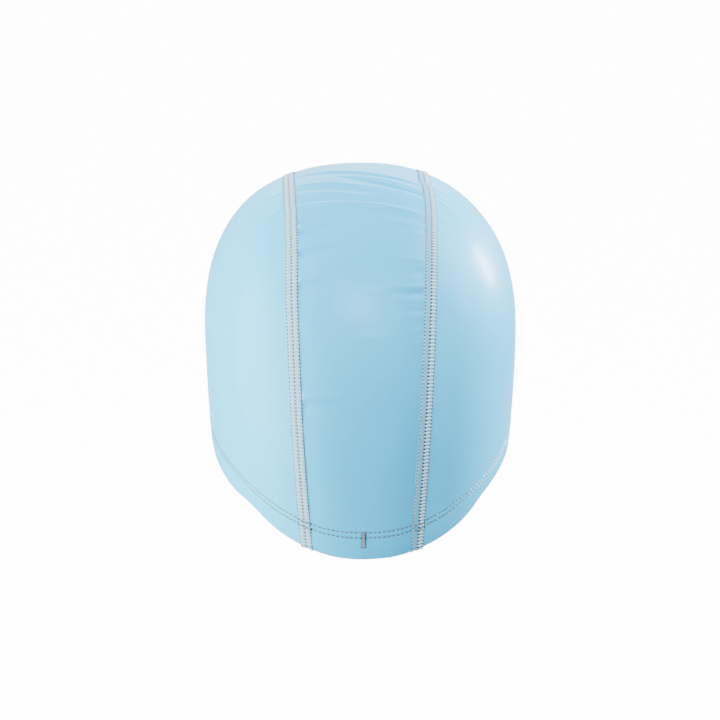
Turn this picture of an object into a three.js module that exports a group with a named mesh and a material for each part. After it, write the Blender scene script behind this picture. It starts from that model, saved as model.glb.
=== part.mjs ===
import * as THREE from "three";

// Swim cap of three stretched cloth panels, in the form it has when worn.
// Millimetres, +Z up out of the crown, -Y towards the nape, +Y towards the brow, +X the wearer's right.
// The origin lies in the head opening, straight below the crown, level with the hem's low points.

// Overall size
const CROWN_HEIGHT = 172;
const HALF_WIDTH = 84;
const NAPE_REACH = 113;
const BROW_REACH = 90;
const SIDE_RISE = 22;

// Cloth, gaps and the turned hem
const CLOTH = 1.2;
const GAP = 0.3;
const HEM_DEPTH = 13.5;
const HEM_LIP = 1.5;
const LIP_ROUND = 0.45;

// Flatlock seam bands
const SEAM_WIDTH = 6;
const SEAM_PROUD = 0.5;

// Folds of the stretched cloth
const FOLD_HEIGHT = 1.6;
const FOLD_WIDTH = 7;

// Bar tack on the hem
const TACK_HEIGHT = 8;
const TACK_WIDTH = 2.6;
const TACK_STEM = 1.4;
const TACK_BAR = 1.2;
const TACK_PROUD = 0.5;
const TACK_FOOT = 5.6;
const TACK_ASIDE = 1.4;

// Outline seen from the front (side) and from the side (nape, brow).
// level: height of the fullest place, a share of the crown height
// tuck: reach at the hem, a share of the full reach
// roundness: exponent of the curve above that level
const PROFILES = {
  side: { reach: HALF_WIDTH, level: 0.51, tuck: 0.925, roundness: 2.2 },
  nape: { reach: NAPE_REACH, level: 0.18, tuck: 1.0, roundness: 2.2 },
  brow: { reach: BROW_REACH, level: 0.23, tuck: 0.98, roundness: 2.3 },
};

// Exponent of the level sections, and of the hem's climb from nape and brow to the sides
const SECTION_ROUNDNESS = 2.35;
const HEM_ROUNDNESS = 4;

// Seam lines, a row for each side.
// crown, hem: distance from the middle plane, shares of the half width
// bend: exponent of the drift from the one to the other
const SEAMS = {
  left: { side: -1, crown: 0.44, hem: 0.37, bend: 1.8 },
  right: { side: 1, crown: 0.435, hem: 0.335, bend: 1.0 },
};

// Folds across the centre panel, a row for each fold.
// along: share of the strip from nape hem to brow hem
// from, to: shares of the strip's width from the left seam to the right seam
// rise: share of the fold height, negative for a furrow
// spread: half breadth of the fold, a share of the fold width
const FOLDS = [
  { along: 0.51, from: 0.02, to: 0.98, rise: 0.75, spread: 0.9 },
  { along: 0.475, from: 0.3, to: 0.98, rise: -0.45, spread: 0.7 },
  { along: 0.452, from: 0.05, to: 0.7, rise: 0.4, spread: 0.7 },
  { along: 0.415, from: 0.03, to: 0.97, rise: 1.0, spread: 0.8 },
  { along: 0.385, from: 0.1, to: 0.9, rise: -0.45, spread: 0.7 },
  { along: 0.357, from: 0.02, to: 0.35, rise: 0.45, spread: 0.6 },
  { along: 0.32, from: 0.02, to: 0.3, rise: 0.4, spread: 0.6 },
  { along: 0.3, from: 0.66, to: 0.98, rise: 0.45, spread: 0.6 },
  { along: 0.262, from: 0.68, to: 0.98, rise: 0.7, spread: 0.6 },
  { along: 0.133, from: 0.02, to: 0.25, rise: 0.4, spread: 0.6 },
];

// Cross section of a seam band, a row for each corner.
// across: share of half the seam width
// out: share of the stand above the cloth, or -1 for the inner face
const BAND_SECTION = [
  { across: -1, out: 0.35 },
  { across: -0.7, out: 1 },
  { across: -0.25, out: 0.75 },
  { across: 0, out: 0.5 },
  { across: 0.25, out: 0.75 },
  { across: 0.7, out: 1 },
  { across: 1, out: 0.35 },
  { across: 1, out: -1 },
  { across: -1, out: -1 },
];

// Fineness of the facets
const STRIP_ROWS = 44;
const STRIP_COLUMNS = 12;
const SIDE_ROWS = 44;
const SIDE_COLUMNS = 12;
const SIDE_GRADING = 1.5;
const BAND_ROWS = 58;
const HEM_STEPS = 92;
const HALVINGS = 44;
const SETTLING_STEPS = 8;
const LEAST_ROW = 2;
const REACH_LIMIT = 3 * CROWN_HEIGHT;
const TANGENT_STEP = 0.05;
const WELD = 1e-4;

const AXIS_LEVEL = PROFILES.side.level * CROWN_HEIGHT;
const NAPE_TURN = -Math.PI / 2;
const BROW_TURN = 3 * Math.PI / 2;
const CROWN_TURN = Math.PI / 2;

// Form of the worn cap

function reachAt(profile, z) {
  const level = profile.level * CROWN_HEIGHT;
  if (z <= level) {
    const drop = (level - z) / level;
    return profile.reach * (1 - (1 - profile.tuck) * drop ** 2);
  }
  const climb = Math.min((z - level) / (CROWN_HEIGHT - level), 1);
  return profile.reach * (1 - climb ** profile.roundness) ** (1 / profile.roundness);
}

function lengthProfile(y) {
  return y < 0 ? PROFILES.nape : PROFILES.brow;
}

// Below one inside the form, above one outside
function fullness(x, y, z) {
  if (z >= CROWN_HEIGHT) return Infinity;
  const across = Math.abs(x) / reachAt(PROFILES.side, z);
  const lengthwise = Math.abs(y) / reachAt(lengthProfile(y), z);
  return across ** SECTION_ROUNDNESS + lengthwise ** SECTION_ROUNDNESS;
}

// Finds where a rule changes from true to false between two values
function crossing(low, high, holds) {
  let inside = low;
  let outside = high;
  for (let i = 0; i < HALVINGS; i += 1) {
    const middle = (inside + outside) / 2;
    if (holds(middle)) inside = middle;
    else outside = middle;
  }
  return (inside + outside) / 2;
}

// Point of the form at a distance from the middle plane and a turn about the crosswise axis
function pointAtTurn(x, turn) {
  const back = -Math.cos(turn);
  const up = Math.sin(turn);
  const radius = crossing(0, REACH_LIMIT, (r) => fullness(x, r * back, AXIS_LEVEL + r * up) < 1);
  return new THREE.Vector3(x, radius * back, AXIS_LEVEL + radius * up);
}

// Point of the form beside a point of the middle plane
function pointAtSide(side, y, z) {
  const lengthwise = Math.min(Math.abs(y) / reachAt(lengthProfile(y), z), 1);
  const across = (1 - lengthwise ** SECTION_ROUNDNESS) ** (1 / SECTION_ROUNDNESS);
  return new THREE.Vector3(side * reachAt(PROFILES.side, z) * across, y, z);
}

// Outward direction on the crown and the seams
function normalAtTurn(x, turn) {
  const step = TANGENT_STEP / CROWN_HEIGHT;
  const along = pointAtTurn(x, turn + step).sub(pointAtTurn(x, turn - step));
  const across = pointAtTurn(x + TANGENT_STEP, turn).sub(pointAtTurn(x - TANGENT_STEP, turn));
  return across.cross(along).normalize();
}

// Outward direction on the sides and at the hem
function normalAtPoint(point) {
  const slope = (dx, dy, dz) =>
    fullness(point.x + dx, point.y + dy, point.z + dz) - fullness(point.x - dx, point.y - dy, point.z - dz);
  const step = TANGENT_STEP;
  return new THREE.Vector3(slope(step, 0, 0), slope(0, step, 0), slope(0, 0, step)).normalize();
}

function hemHeight(y) {
  const share = Math.min(Math.abs(y) / reachAt(lengthProfile(y), 0), 1);
  return SIDE_RISE * (1 - share ** HEM_ROUNDNESS);
}

function aboveHem(point) {
  return point.z - hemHeight(point.y);
}

function mix(a, b, share) {
  return a + (b - a) * share;
}

// Seam lines

function seamOffset(seam, z) {
  const descent = Math.max(1 - z / CROWN_HEIGHT, 0) ** seam.bend;
  return seam.side * HALF_WIDTH * mix(seam.crown, seam.hem, descent);
}

// Point of a seam at a turn, moved aside by some millimetres
function seamX(seam, turn, aside) {
  let x = seam.side * HALF_WIDTH * seam.crown;
  for (let i = 0; i < SETTLING_STEPS; i += 1) x = seamOffset(seam, pointAtTurn(x + aside, turn).z);
  return x + aside;
}

// Turns at which a lengthwise line meets the wanted height above the hem
function turnRange(xAtTurn, height) {
  const clears = (turn) => aboveHem(pointAtTurn(xAtTurn(turn), turn)) > height;
  return {
    nape: crossing(CROWN_TURN, NAPE_TURN, clears),
    brow: crossing(CROWN_TURN, BROW_TURN, clears),
  };
}

// Closed meshes from grids

// Joins equal corners and leaves out faces without area
function solidFromTriangles(triangles) {
  const found = new Map();
  const places = [];
  const index = [];
  const cornerOf = (p) => {
    const key = [p.x, p.y, p.z].map((v) => Math.round(v / WELD)).join(" ");
    if (!found.has(key)) {
      found.set(key, places.length / 3);
      places.push(p.x, p.y, p.z);
    }
    return found.get(key);
  };
  for (const corners of triangles) {
    const [a, b, c] = corners.map(cornerOf);
    if (a !== b && b !== c && c !== a) index.push(a, b, c);
  }
  const geometry = new THREE.BufferGeometry();
  geometry.setAttribute("position", new THREE.Float32BufferAttribute(places, 3));
  geometry.setIndex(index);
  geometry.computeVertexNormals();
  return geometry;
}

function quad(a, b, c, d) {
  return a.distanceTo(c) <= b.distanceTo(d) ? [[a, b, c], [a, c, d]] : [[a, b, d], [b, c, d]];
}

// Cloth wall between an outer and an inner grid with the same rows and columns
function sheetSolid(outer, inner) {
  const triangles = [];
  const rows = outer.length - 1;
  const columns = outer[0].length - 1;
  for (let r = 0; r < rows; r += 1) {
    for (let c = 0; c < columns; c += 1) {
      triangles.push(...quad(outer[r][c], outer[r][c + 1], outer[r + 1][c + 1], outer[r + 1][c]));
      triangles.push(...quad(inner[r][c], inner[r + 1][c], inner[r + 1][c + 1], inner[r][c + 1]));
    }
  }
  for (let r = 0; r < rows; r += 1) {
    triangles.push(...quad(outer[r][0], outer[r + 1][0], inner[r + 1][0], inner[r][0]));
    triangles.push(...quad(outer[r][columns], inner[r][columns], inner[r + 1][columns], outer[r + 1][columns]));
  }
  for (let c = 0; c < columns; c += 1) {
    triangles.push(...quad(outer[0][c], inner[0][c], inner[0][c + 1], outer[0][c + 1]));
    triangles.push(...quad(outer[rows][c], outer[rows][c + 1], inner[rows][c + 1], inner[rows][c]));
  }
  return solidFromTriangles(triangles);
}

// Bar swept through cross sections with the same number of corners
function sweptSolid(sections, closed) {
  const triangles = [];
  const corners = sections[0].length;
  const spans = closed ? sections.length : sections.length - 1;
  for (let s = 0; s < spans; s += 1) {
    const here = sections[s];
    const next = sections[(s + 1) % sections.length];
    for (let k = 0; k < corners; k += 1) {
      const m = (k + 1) % corners;
      triangles.push(...quad(here[k], here[m], next[m], next[k]));
    }
  }
  if (!closed) {
    const last = sections[sections.length - 1];
    for (const [a, b, c] of capFaces(sections[0])) triangles.push([a, c, b]);
    for (const [a, b, c] of capFaces(last)) triangles.push([a, b, c]);
  }
  return solidFromTriangles(triangles);
}

// Fan from a section's last corner, which its whole outline can be seen from
function capFaces(section) {
  const last = section[section.length - 1];
  const faces = [];
  for (let k = 0; k < section.length - 2; k += 1) faces.push([last, section[k], section[k + 1]]);
  return faces;
}

// Centre panel

function bump(distance, halfBreadth) {
  const share = Math.abs(distance) / halfBreadth;
  return share >= 1 ? 0 : Math.cos(share * Math.PI / 2) ** 2;
}

// Height of all folds at a place of the strip
function foldAt(along, across, stripLength) {
  let height = 0;
  for (const fold of FOLDS) {
    const middle = (fold.from + fold.to) / 2;
    const lengthwise = bump((along - fold.along) * stripLength, fold.spread * FOLD_WIDTH);
    const crosswise = bump(across - middle, (fold.to - fold.from) / 2) ** (1 / 2);
    height += fold.rise * FOLD_HEIGHT * lengthwise * crosswise;
  }
  return height;
}

// Even rows, with rows at the crest and at the feet of every fold
function stripRows(stripLength) {
  const rows = [];
  for (let r = 0; r <= STRIP_ROWS; r += 1) rows.push(r / STRIP_ROWS);
  for (const fold of FOLDS) {
    const foot = fold.spread * FOLD_WIDTH / stripLength;
    rows.push(fold.along - foot, fold.along, fold.along + foot);
  }
  rows.sort((a, b) => a - b);
  const least = LEAST_ROW / stripLength;
  return rows.filter((row, i) => i === 0 || row === 1 || (row - rows[i - 1] > least && row < 1 - least));
}

function centrePanel() {
  const edge = SEAM_WIDTH / 2 + GAP;
  const stripLength = CROWN_HEIGHT + NAPE_REACH + BROW_REACH;
  const rows = stripRows(stripLength);
  const outer = rows.map(() => []);
  const inner = rows.map(() => []);
  for (let c = 0; c <= STRIP_COLUMNS; c += 1) {
    const across = c / STRIP_COLUMNS;
    const xAtTurn = (turn) => mix(seamX(SEAMS.left, turn, edge), seamX(SEAMS.right, turn, -edge), across);
    const range = turnRange(xAtTurn, HEM_LIP + GAP);
    rows.forEach((along, r) => {
      const turn = mix(range.nape, range.brow, along);
      const x = xAtTurn(turn);
      const normal = normalAtTurn(x, turn);
      const lift = foldAt(along, across, stripLength);
      const place = pointAtTurn(x, turn);
      outer[r].push(place.clone().addScaledVector(normal, lift));
      inner[r].push(place.clone().addScaledVector(normal, lift - CLOTH));
    });
  }
  return sheetSolid(outer, inner);
}

// Side panels

// Turn in plan of the hem at a distance from the middle plane
function hemPoint(side, planTurn, height) {
  const lengthwise = Math.sin(planTurn);
  const profile = lengthProfile(lengthwise);
  const share = Math.sign(lengthwise) * Math.abs(lengthwise) ** (2 / SECTION_ROUNDNESS);
  let z = height;
  for (let i = 0; i < SETTLING_STEPS; i += 1) z = hemHeight(share * reachAt(profile, z)) + height;
  return pointAtSide(side, share * reachAt(profile, z), z);
}

function sidePanel(seam) {
  const edge = seam.side * (SEAM_WIDTH / 2 + GAP);
  const height = HEM_LIP + GAP;
  const xAtTurn = (turn) => seamX(seam, turn, edge);
  const range = turnRange(xAtTurn, height);
  const planAt = (turn) => {
    const target = pointAtTurn(xAtTurn(turn), turn);
    const nape = target.y < 0;
    const limit = nape ? -Math.PI / 2 : Math.PI / 2;
    return crossing(0, limit, (plan) => Math.abs(hemPoint(seam.side, plan, height).y) < Math.abs(target.y));
  };
  const planNape = planAt(range.nape);
  const planBrow = planAt(range.brow);
  const outer = [];
  const inner = [];
  for (let r = 0; r <= SIDE_ROWS; r += 1) {
    const share = r / SIDE_ROWS;
    const turn = mix(range.nape, range.brow, share);
    const high = pointAtTurn(xAtTurn(turn), turn);
    const atTip = r === 0 || r === SIDE_ROWS;
    const low = atTip ? high : hemPoint(seam.side, mix(planNape, planBrow, share), height);
    const outerRow = [];
    const innerRow = [];
    for (let c = 0; c <= SIDE_COLUMNS; c += 1) {
      const down = (c / SIDE_COLUMNS) ** SIDE_GRADING;
      const place = pointAtSide(seam.side, mix(high.y, low.y, down), mix(high.z, low.z, down));
      outerRow.push(place);
      innerRow.push(place.clone().addScaledVector(normalAtPoint(place), -CLOTH));
    }
    if (seam.side < 0) {
      outerRow.reverse();
      innerRow.reverse();
    }
    outer.push(outerRow);
    inner.push(innerRow);
  }
  return sheetSolid(outer, inner);
}

// Flatlock seams

function seamBand(seam) {
  const half = SEAM_WIDTH / 2;
  const range = turnRange((turn) => seamX(seam, turn, 0), HEM_LIP + GAP);
  const sections = [];
  for (let r = 0; r <= BAND_ROWS; r += 1) {
    const turn = mix(range.nape, range.brow, r / BAND_ROWS);
    sections.push(BAND_SECTION.map((corner) => {
      const x = seamX(seam, turn, corner.across * half);
      const out = corner.out < 0 ? -CLOTH : corner.out * SEAM_PROUD;
      return pointAtTurn(x, turn).addScaledVector(normalAtTurn(x, turn), out);
    }));
  }
  return sweptSolid(sections, false);
}

// Turned hem

// Corners of the hem's section.
// deep: depth below the outer face of the cloth; up: height above the hem edge
function hemSection() {
  const back = 2 * CLOTH + GAP;
  return [
    { deep: 0, up: HEM_LIP },
    { deep: 0, up: LIP_ROUND },
    { deep: LIP_ROUND, up: 0 },
    { deep: back - LIP_ROUND, up: 0 },
    { deep: back, up: LIP_ROUND },
    { deep: back, up: HEM_DEPTH },
    { deep: CLOTH + GAP, up: HEM_DEPTH },
    { deep: CLOTH + GAP, up: HEM_LIP },
  ];
}

function turnedHem() {
  const section = hemSection();
  const sections = [];
  for (let s = 0; s < HEM_STEPS; s += 1) {
    const plan = s / HEM_STEPS * 2 * Math.PI - Math.PI / 2;
    const side = Math.cos(plan) >= 0 ? 1 : -1;
    sections.push(section.map((corner) => {
      const place = hemPoint(side, plan, corner.up);
      return place.addScaledVector(normalAtPoint(place), -corner.deep);
    }));
  }
  return sweptSolid(sections, true);
}

// Bar tack

function barTack() {
  const half = TACK_WIDTH / 2;
  const stem = TACK_STEM / 2;
  const top = TACK_HEIGHT;
  const outline = [
    [-half, 0], [half, 0], [half, TACK_BAR], [stem, TACK_BAR],
    [stem, top - TACK_BAR], [half, top - TACK_BAR], [half, top], [-half, top],
    [-half, top - TACK_BAR], [-stem, top - TACK_BAR], [-stem, TACK_BAR], [-half, TACK_BAR],
  ];
  const placed = (out) => outline.map(([x, up]) => {
    const turn = turnRange(() => TACK_ASIDE, TACK_FOOT + up).nape;
    return pointAtTurn(TACK_ASIDE + x, turn).addScaledVector(normalAtTurn(TACK_ASIDE + x, turn), out);
  });
  const inner = placed(GAP);
  const outer = placed(GAP + TACK_PROUD);
  const flat = outline.map(([x, up]) => new THREE.Vector2(x, up));
  const triangles = [];
  for (const [a, b, c] of THREE.ShapeUtils.triangulateShape(flat, [])) {
    triangles.push([outer[a], outer[b], outer[c]], [inner[a], inner[c], inner[b]]);
  }
  outline.forEach((_, k) => {
    const m = (k + 1) % outline.length;
    triangles.push(...quad(inner[k], inner[m], outer[m], outer[k]));
  });
  return solidFromTriangles(triangles);
}

// Colours

const COLOURS = {
  cloth: 0xa3d4e8,
  thread: 0xc9cfd6,
};

function piece(name, geometry, colour) {
  const material = new THREE.MeshStandardMaterial({ color: colour, roughness: 0.45, metalness: 0 });
  material.name = `${name}_surface`;
  const mesh = new THREE.Mesh(geometry, material);
  mesh.name = name;
  return mesh;
}

const cap = new THREE.Group();
cap.name = "swim_cap";
cap.add(
  piece("centre_panel", centrePanel(), COLOURS.cloth),
  piece("side_panel_left", sidePanel(SEAMS.left), COLOURS.cloth),
  piece("side_panel_right", sidePanel(SEAMS.right), COLOURS.cloth),
  piece("seam_left", seamBand(SEAMS.left), COLOURS.thread),
  piece("seam_right", seamBand(SEAMS.right), COLOURS.thread),
  piece("hem", turnedHem(), COLOURS.cloth),
  piece("bar_tack", barTack(), COLOURS.thread),
);

export default cap;
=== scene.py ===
"""Swim cap of three stretched cloth panels, as it is worn.

Metres, +Z up out of the crown, -Y towards the nape, +Y towards the brow, +X the wearer's right.
"""
import logging
import math
from dataclasses import dataclass
from enum import Enum
from functools import lru_cache
from typing import Callable, Sequence

import bmesh
import bpy
import numpy as np
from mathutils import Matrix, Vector


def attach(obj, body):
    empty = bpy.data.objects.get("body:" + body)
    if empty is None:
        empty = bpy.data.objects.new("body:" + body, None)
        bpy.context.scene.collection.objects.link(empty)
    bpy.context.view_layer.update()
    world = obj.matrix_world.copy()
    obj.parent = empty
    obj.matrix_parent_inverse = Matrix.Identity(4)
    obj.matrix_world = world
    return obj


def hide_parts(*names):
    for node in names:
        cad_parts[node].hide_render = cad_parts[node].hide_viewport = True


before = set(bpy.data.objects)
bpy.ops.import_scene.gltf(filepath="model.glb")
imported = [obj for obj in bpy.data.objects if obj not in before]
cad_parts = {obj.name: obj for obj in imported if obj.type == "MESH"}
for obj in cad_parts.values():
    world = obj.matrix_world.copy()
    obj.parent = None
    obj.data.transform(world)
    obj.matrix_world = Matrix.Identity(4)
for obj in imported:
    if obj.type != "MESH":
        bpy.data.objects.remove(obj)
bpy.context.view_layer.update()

BODY = "root"
MM = 0.001
NAPE_TURN = -0.5 * math.pi
CROWN_TURN = 0.5 * math.pi
BROW_TURN = 1.5 * math.pi
TINY = 1e-9
LEAST_LENGTH = 1e-12
LOG = logging.getLogger("swim_cap")
Array = np.ndarray
Colour = tuple[float, float, float]
Socket = bpy.types.NodeSocket


class Side(Enum):
    """The wearer's left and right."""

    LEFT = -1
    RIGHT = 1

    @property
    def word(self) -> str:
        """Left or right, in small letters."""
        return self.name.lower()


# Form of the worn cap


@dataclass(frozen=True)
class Outline:
    """One outline of the cap, as the reach from the crown's upright line at each height.

    Attributes:
        reach: Greatest reach, in metres.
        level: Height of that place, as a share of the crown height.
        tuck: Reach at the hem, as a share of the greatest.
        roundness: Exponent of the curve above that height.
    """

    reach: float
    level: float
    tuck: float
    roundness: float

    def at(self, z: Array, height: float) -> Array:
        """Reach at some heights.

        Args:
            z: Heights in metres.
            height: Height of the crown.

        Returns:
            The reach at each height.
        """
        level = self.level * height
        drop = np.clip((level - z) / level, 0.0, None)
        climb = np.clip((z - level) / (height - level), 0.0, 1.0)
        low = self.reach * (1.0 - (1.0 - self.tuck) * drop**2)
        high = self.reach * (1.0 - climb**self.roundness) ** (1.0 / self.roundness)
        return np.where(z <= level, low, high)


@dataclass(frozen=True)
class SeamLine:
    """Course of one seam beside the middle plane.

    Attributes:
        side: The side it lies on.
        crown: Distance from the middle plane at the crown, as a share of the half width.
        hem: The same at the hem.
        bend: Exponent of the drift from one to the other.
        steps: Small steps aside, each as (share of the way along, metres aside, length in metres).
    """

    side: Side
    crown: float
    hem: float
    bend: float
    steps: tuple[tuple[float, float, float], ...] = ()


@dataclass(frozen=True)
class HemLine:
    """Course of the hem on one side of the cap.

    Attributes:
        rise: How much higher the hem is at the side than at the nape.
        roundness: Exponent of the curve between them.
        notch: How much shallower the hem gets where it leaves the nape.
        place: Where that is, as a share of the reach towards the nape.
        near: Breadth of that place towards the nape, as a share of the same reach.
        far: Its breadth towards the side.
    """

    rise: float
    roundness: float
    notch: float
    place: float
    near: float
    far: float


@dataclass(frozen=True)
class CapForm:
    """The rounded form of the cap on a head, and the lines that run over it.

    Attributes:
        height: Height of the crown.
        half_width: Greatest distance of the sides from the middle plane.
        section_roundness: Exponent of the level sections.
        side, nape, brow: Outlines towards the sides, the nape and the brow.
        strip_length: Length of the middle line from hem to hem.
        nape_drop: How much deeper the hem is at the nape.
        nape_blend: Share of the reach towards the nape over which that depth comes in.
        strip_edge: Height above the hem's edge at which the middle line is counted from.
        hem_left, hem_right: Course of the hem on each side.
        farthest: More than any reach, where the search for the surface starts.
        least_reach: Smallest reach that is divided by.
        well_outside: Fullness that places above the crown are given.
        halvings: Steps of each search by halves.
        course_rows: Places at which a seam's course is worked out.
        course_rounds, plan_rounds: Rounds after which a seam's course and a place above the hem have settled.
    """

    height: float = 0.172
    half_width: float = 0.084
    section_roundness: float = 2.35
    side: Outline = Outline(0.084, 0.51, 0.925, 2.2)
    nape: Outline = Outline(0.113, 0.18, 1.0, 2.2)
    brow: Outline = Outline(0.090, 0.23, 0.98, 2.3)
    strip_length: float = 0.430
    nape_drop: float = 0.0021
    nape_blend: float = 0.3
    strip_edge: float = 0.0018
    hem_left: HemLine = HemLine(0.0236, 3.9, 0.0028, 0.745, 0.10, 0.10)
    hem_right: HemLine = HemLine(0.0250, 3.5, 0.0039, 0.70, 0.09, 0.60)
    farthest: float = 0.4
    least_reach: float = 1e-7
    well_outside: float = 1e3
    halvings: int = 34
    course_rows: int = 1201
    course_rounds: int = 6
    plan_rounds: int = 8

    @property
    def axis_level(self) -> float:
        """Height of the crosswise axis that turns are counted about."""
        return self.side.level * self.height

    def length_reach(self, y: Array, z: Array) -> Array:
        """Reach towards the nape or the brow, by the sign of y."""
        return np.where(y < 0, self.nape.at(z, self.height), self.brow.at(z, self.height))

    def fullness(self, x: Array, y: Array, z: Array) -> Array:
        """Below one inside the form and above one outside."""
        n = self.section_roundness
        wide = np.maximum(self.side.at(z, self.height), self.least_reach)
        long = np.maximum(self.length_reach(y, z), self.least_reach)
        filled = (np.abs(x) / wide) ** n + (np.abs(y) / long) ** n
        return np.where(z >= self.height, self.well_outside, filled)

    def at_turn(self, x: Array, turn: Array) -> Array:
        """Points at distances from the middle plane and turns about the crosswise axis.

        Args:
            x: Distances to the wearer's right.
            turn: Turns in radians, 0 towards the nape and a quarter turn up to the crown.

        Returns:
            Points, with x, y and z last.
        """
        x, turn = np.broadcast_arrays(np.asarray(x, float), np.asarray(turn, float))
        back, up = -np.cos(turn), np.sin(turn)
        low, high = np.zeros(x.shape), np.full(x.shape, self.farthest)
        for _ in range(self.halvings):
            middle = (low + high) / 2
            held = self.fullness(x, middle * back, self.axis_level + middle * up) < 1
            low, high = np.where(held, middle, low), np.where(held, high, middle)
        return np.stack([x, low * back, self.axis_level + low * up], -1)

    def normal_at_turn(self, x: Array, turn: Array) -> Array:
        """Outward directions at the points of at_turn."""
        step = 2e-4
        angle = step / self.height
        along = self.at_turn(x, turn + angle) - self.at_turn(x, turn - angle)
        across = self.at_turn(x + step, turn) - self.at_turn(x - step, turn)
        return unit(np.cross(across, along))

    def at_side(self, side: Side, y: Array, z: Array) -> Array:
        """Points of the form beside points of the middle plane."""
        n = self.section_roundness
        share = np.clip(np.abs(y) / np.maximum(self.length_reach(y, z), self.least_reach), 0, 1)
        x = side.value * self.side.at(z, self.height) * (1 - share**n) ** (1 / n)
        return np.stack([x, y, z], -1)

    def turn_of(self, p: Array) -> Array:
        """Turns of points about the crosswise axis."""
        turn = np.arctan2(p[..., 2] - self.axis_level, -p[..., 1])
        return np.where(turn < NAPE_TURN, turn + math.tau, turn)

    def normal_at(self, p: Array) -> Array:
        """Outward directions at points of the sides and the hem."""
        step = 5e-5
        slopes = []
        for k in range(3):
            move = np.zeros(3)
            move[k] = step
            ahead, behind = (self.fullness(*np.moveaxis(place, -1, 0)) for place in (p + move, p - move))
            slopes.append(ahead - behind)
        return unit(np.stack(slopes, -1))

    def hem_height(self, x: Array, y: Array) -> Array:
        """Height of the hem's edge, which is low at nape and brow."""
        share = np.clip(np.abs(y) / self.length_reach(y, np.zeros(np.shape(y))), 0, 1)
        rises = [line.rise * (1 - share**line.roundness) for line in (self.hem_left, self.hem_right)]
        return np.where(x < 0, *rises) - self.edge_drop(x, y)

    def edge_drop(self, x: Array, y: Array) -> Array:
        """How much deeper the hem is than its stitches alone make it, most at the nape."""
        share = np.clip(-y / self.nape.reach, 0, 1)
        drops = []
        for line in (self.hem_left, self.hem_right):
            breadth = np.where(share > line.place, line.near, line.far)
            drops.append(self.nape_drop - line.notch * np.exp(-(((share - line.place) / breadth) ** 2)))
        return np.where(x < 0, *drops) * smooth(share / self.nape_blend)

    @lru_cache(maxsize=8)
    def seam_course(self, seam: SeamLine) -> tuple[Array, Array]:
        """Turns about the crosswise axis, and the seam's distance from the middle plane at each."""
        turn = np.linspace(NAPE_TURN, BROW_TURN, self.course_rows)
        x = np.full(turn.shape, seam.side.value * self.half_width * seam.crown)
        for _ in range(self.course_rounds):
            z = self.at_turn(x, turn)[..., 2]
            drift = np.clip(1 - z / self.height, 0, None) ** seam.bend
            share = seam.crown + (seam.hem - seam.crown) * drift
            x = seam.side.value * self.half_width * share
        for along, aside, length in seam.steps:
            x = x + aside * smooth((self.strip_share(turn) - along) * self.strip_length / length + 0.5)
        return turn, x

    def seam_x(self, seam: SeamLine, turn: Array, aside: Array | float = 0.0) -> Array:
        """Distance of a seam from the middle plane.

        Args:
            seam: The seam.
            turn: Turns about the crosswise axis.
            aside: Metres beside the seam's line, to the wearer's right.

        Returns:
            The x of each place.
        """
        return np.interp(turn, *self.seam_course(seam)) + aside

    @lru_cache(maxsize=1)
    def strip_ends(self) -> tuple[float, float]:
        """Turns at which the middle line leaves the nape's hem and reaches the brow's."""
        edge = np.array([self.strip_edge])
        return tuple(float(self.turn_at_height(np.zeros_like, edge, brow)[0]) for brow in (False, True))

    def strip_share(self, turn: Array) -> Array:
        """Turns as shares of the way from the nape's hem to the brow's."""
        nape, brow = self.strip_ends()
        return (turn - nape) / (brow - nape)

    def turn_at_height(self, x_at: Callable[[Array], Array], height: Array, brow: bool) -> Array:
        """Turns where lengthwise lines meet wanted heights above the hem.

        Args:
            x_at: Distance from the middle plane at given turns.
            height: Heights above the hem's edge.
            brow: True for the brow's end and false for the nape's.

        Returns:
            The turns.
        """
        inside = np.full(np.shape(height), CROWN_TURN)
        outside = np.full(np.shape(height), BROW_TURN if brow else NAPE_TURN)
        for _ in range(self.halvings):
            middle = (inside + outside) / 2
            p = self.at_turn(x_at(middle), middle)
            held = p[..., 2] - self.hem_height(p[..., 0], p[..., 1]) > height
            inside, outside = np.where(held, middle, inside), np.where(held, outside, middle)
        return (inside + outside) / 2

    def at_plan(self, side: Side, plan: Array, height: Array) -> Array:
        """Points at a turn in plan, by their height above the hem's edge.

        Args:
            side: Left or right of the middle plane.
            plan: Turns in plan, a quarter turn back at the nape and forward at the brow.
            height: Heights above the hem's edge.

        Returns:
            Points, with x, y and z last.
        """
        plan, height = np.broadcast_arrays(plan, height)
        s = np.sin(plan)
        share = np.sign(s) * np.abs(s) ** (2 / self.section_roundness)
        z = height.astype(float)
        for _ in range(self.plan_rounds):
            z = self.hem_height(np.array(side.value), share * self.length_reach(s, z)) + height
        return self.at_side(side, share * self.length_reach(s, z), z)


def unit(v: Array) -> Array:
    """Vectors of length one in the same directions."""
    return v / np.maximum(np.linalg.norm(v, axis=-1, keepdims=True), LEAST_LENGTH)


def mix(a: Array | float, b: Array | float, share: Array | float) -> Array | float:
    """The value a share of the way from a to b."""
    return a + (b - a) * share


def smooth(share: Array) -> Array:
    """A soft step from zero to one while the share goes from zero to one."""
    held = np.clip(share, 0, 1)
    return held * held * (3 - 2 * held)


def bump(distance: Array, half: Array | float) -> Array:
    """A smooth hill one high, which ends at a half breadth from its middle."""
    share = np.clip(np.abs(distance) / half, 0, 1)
    return np.cos(share * math.pi / 2) ** 2


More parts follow.
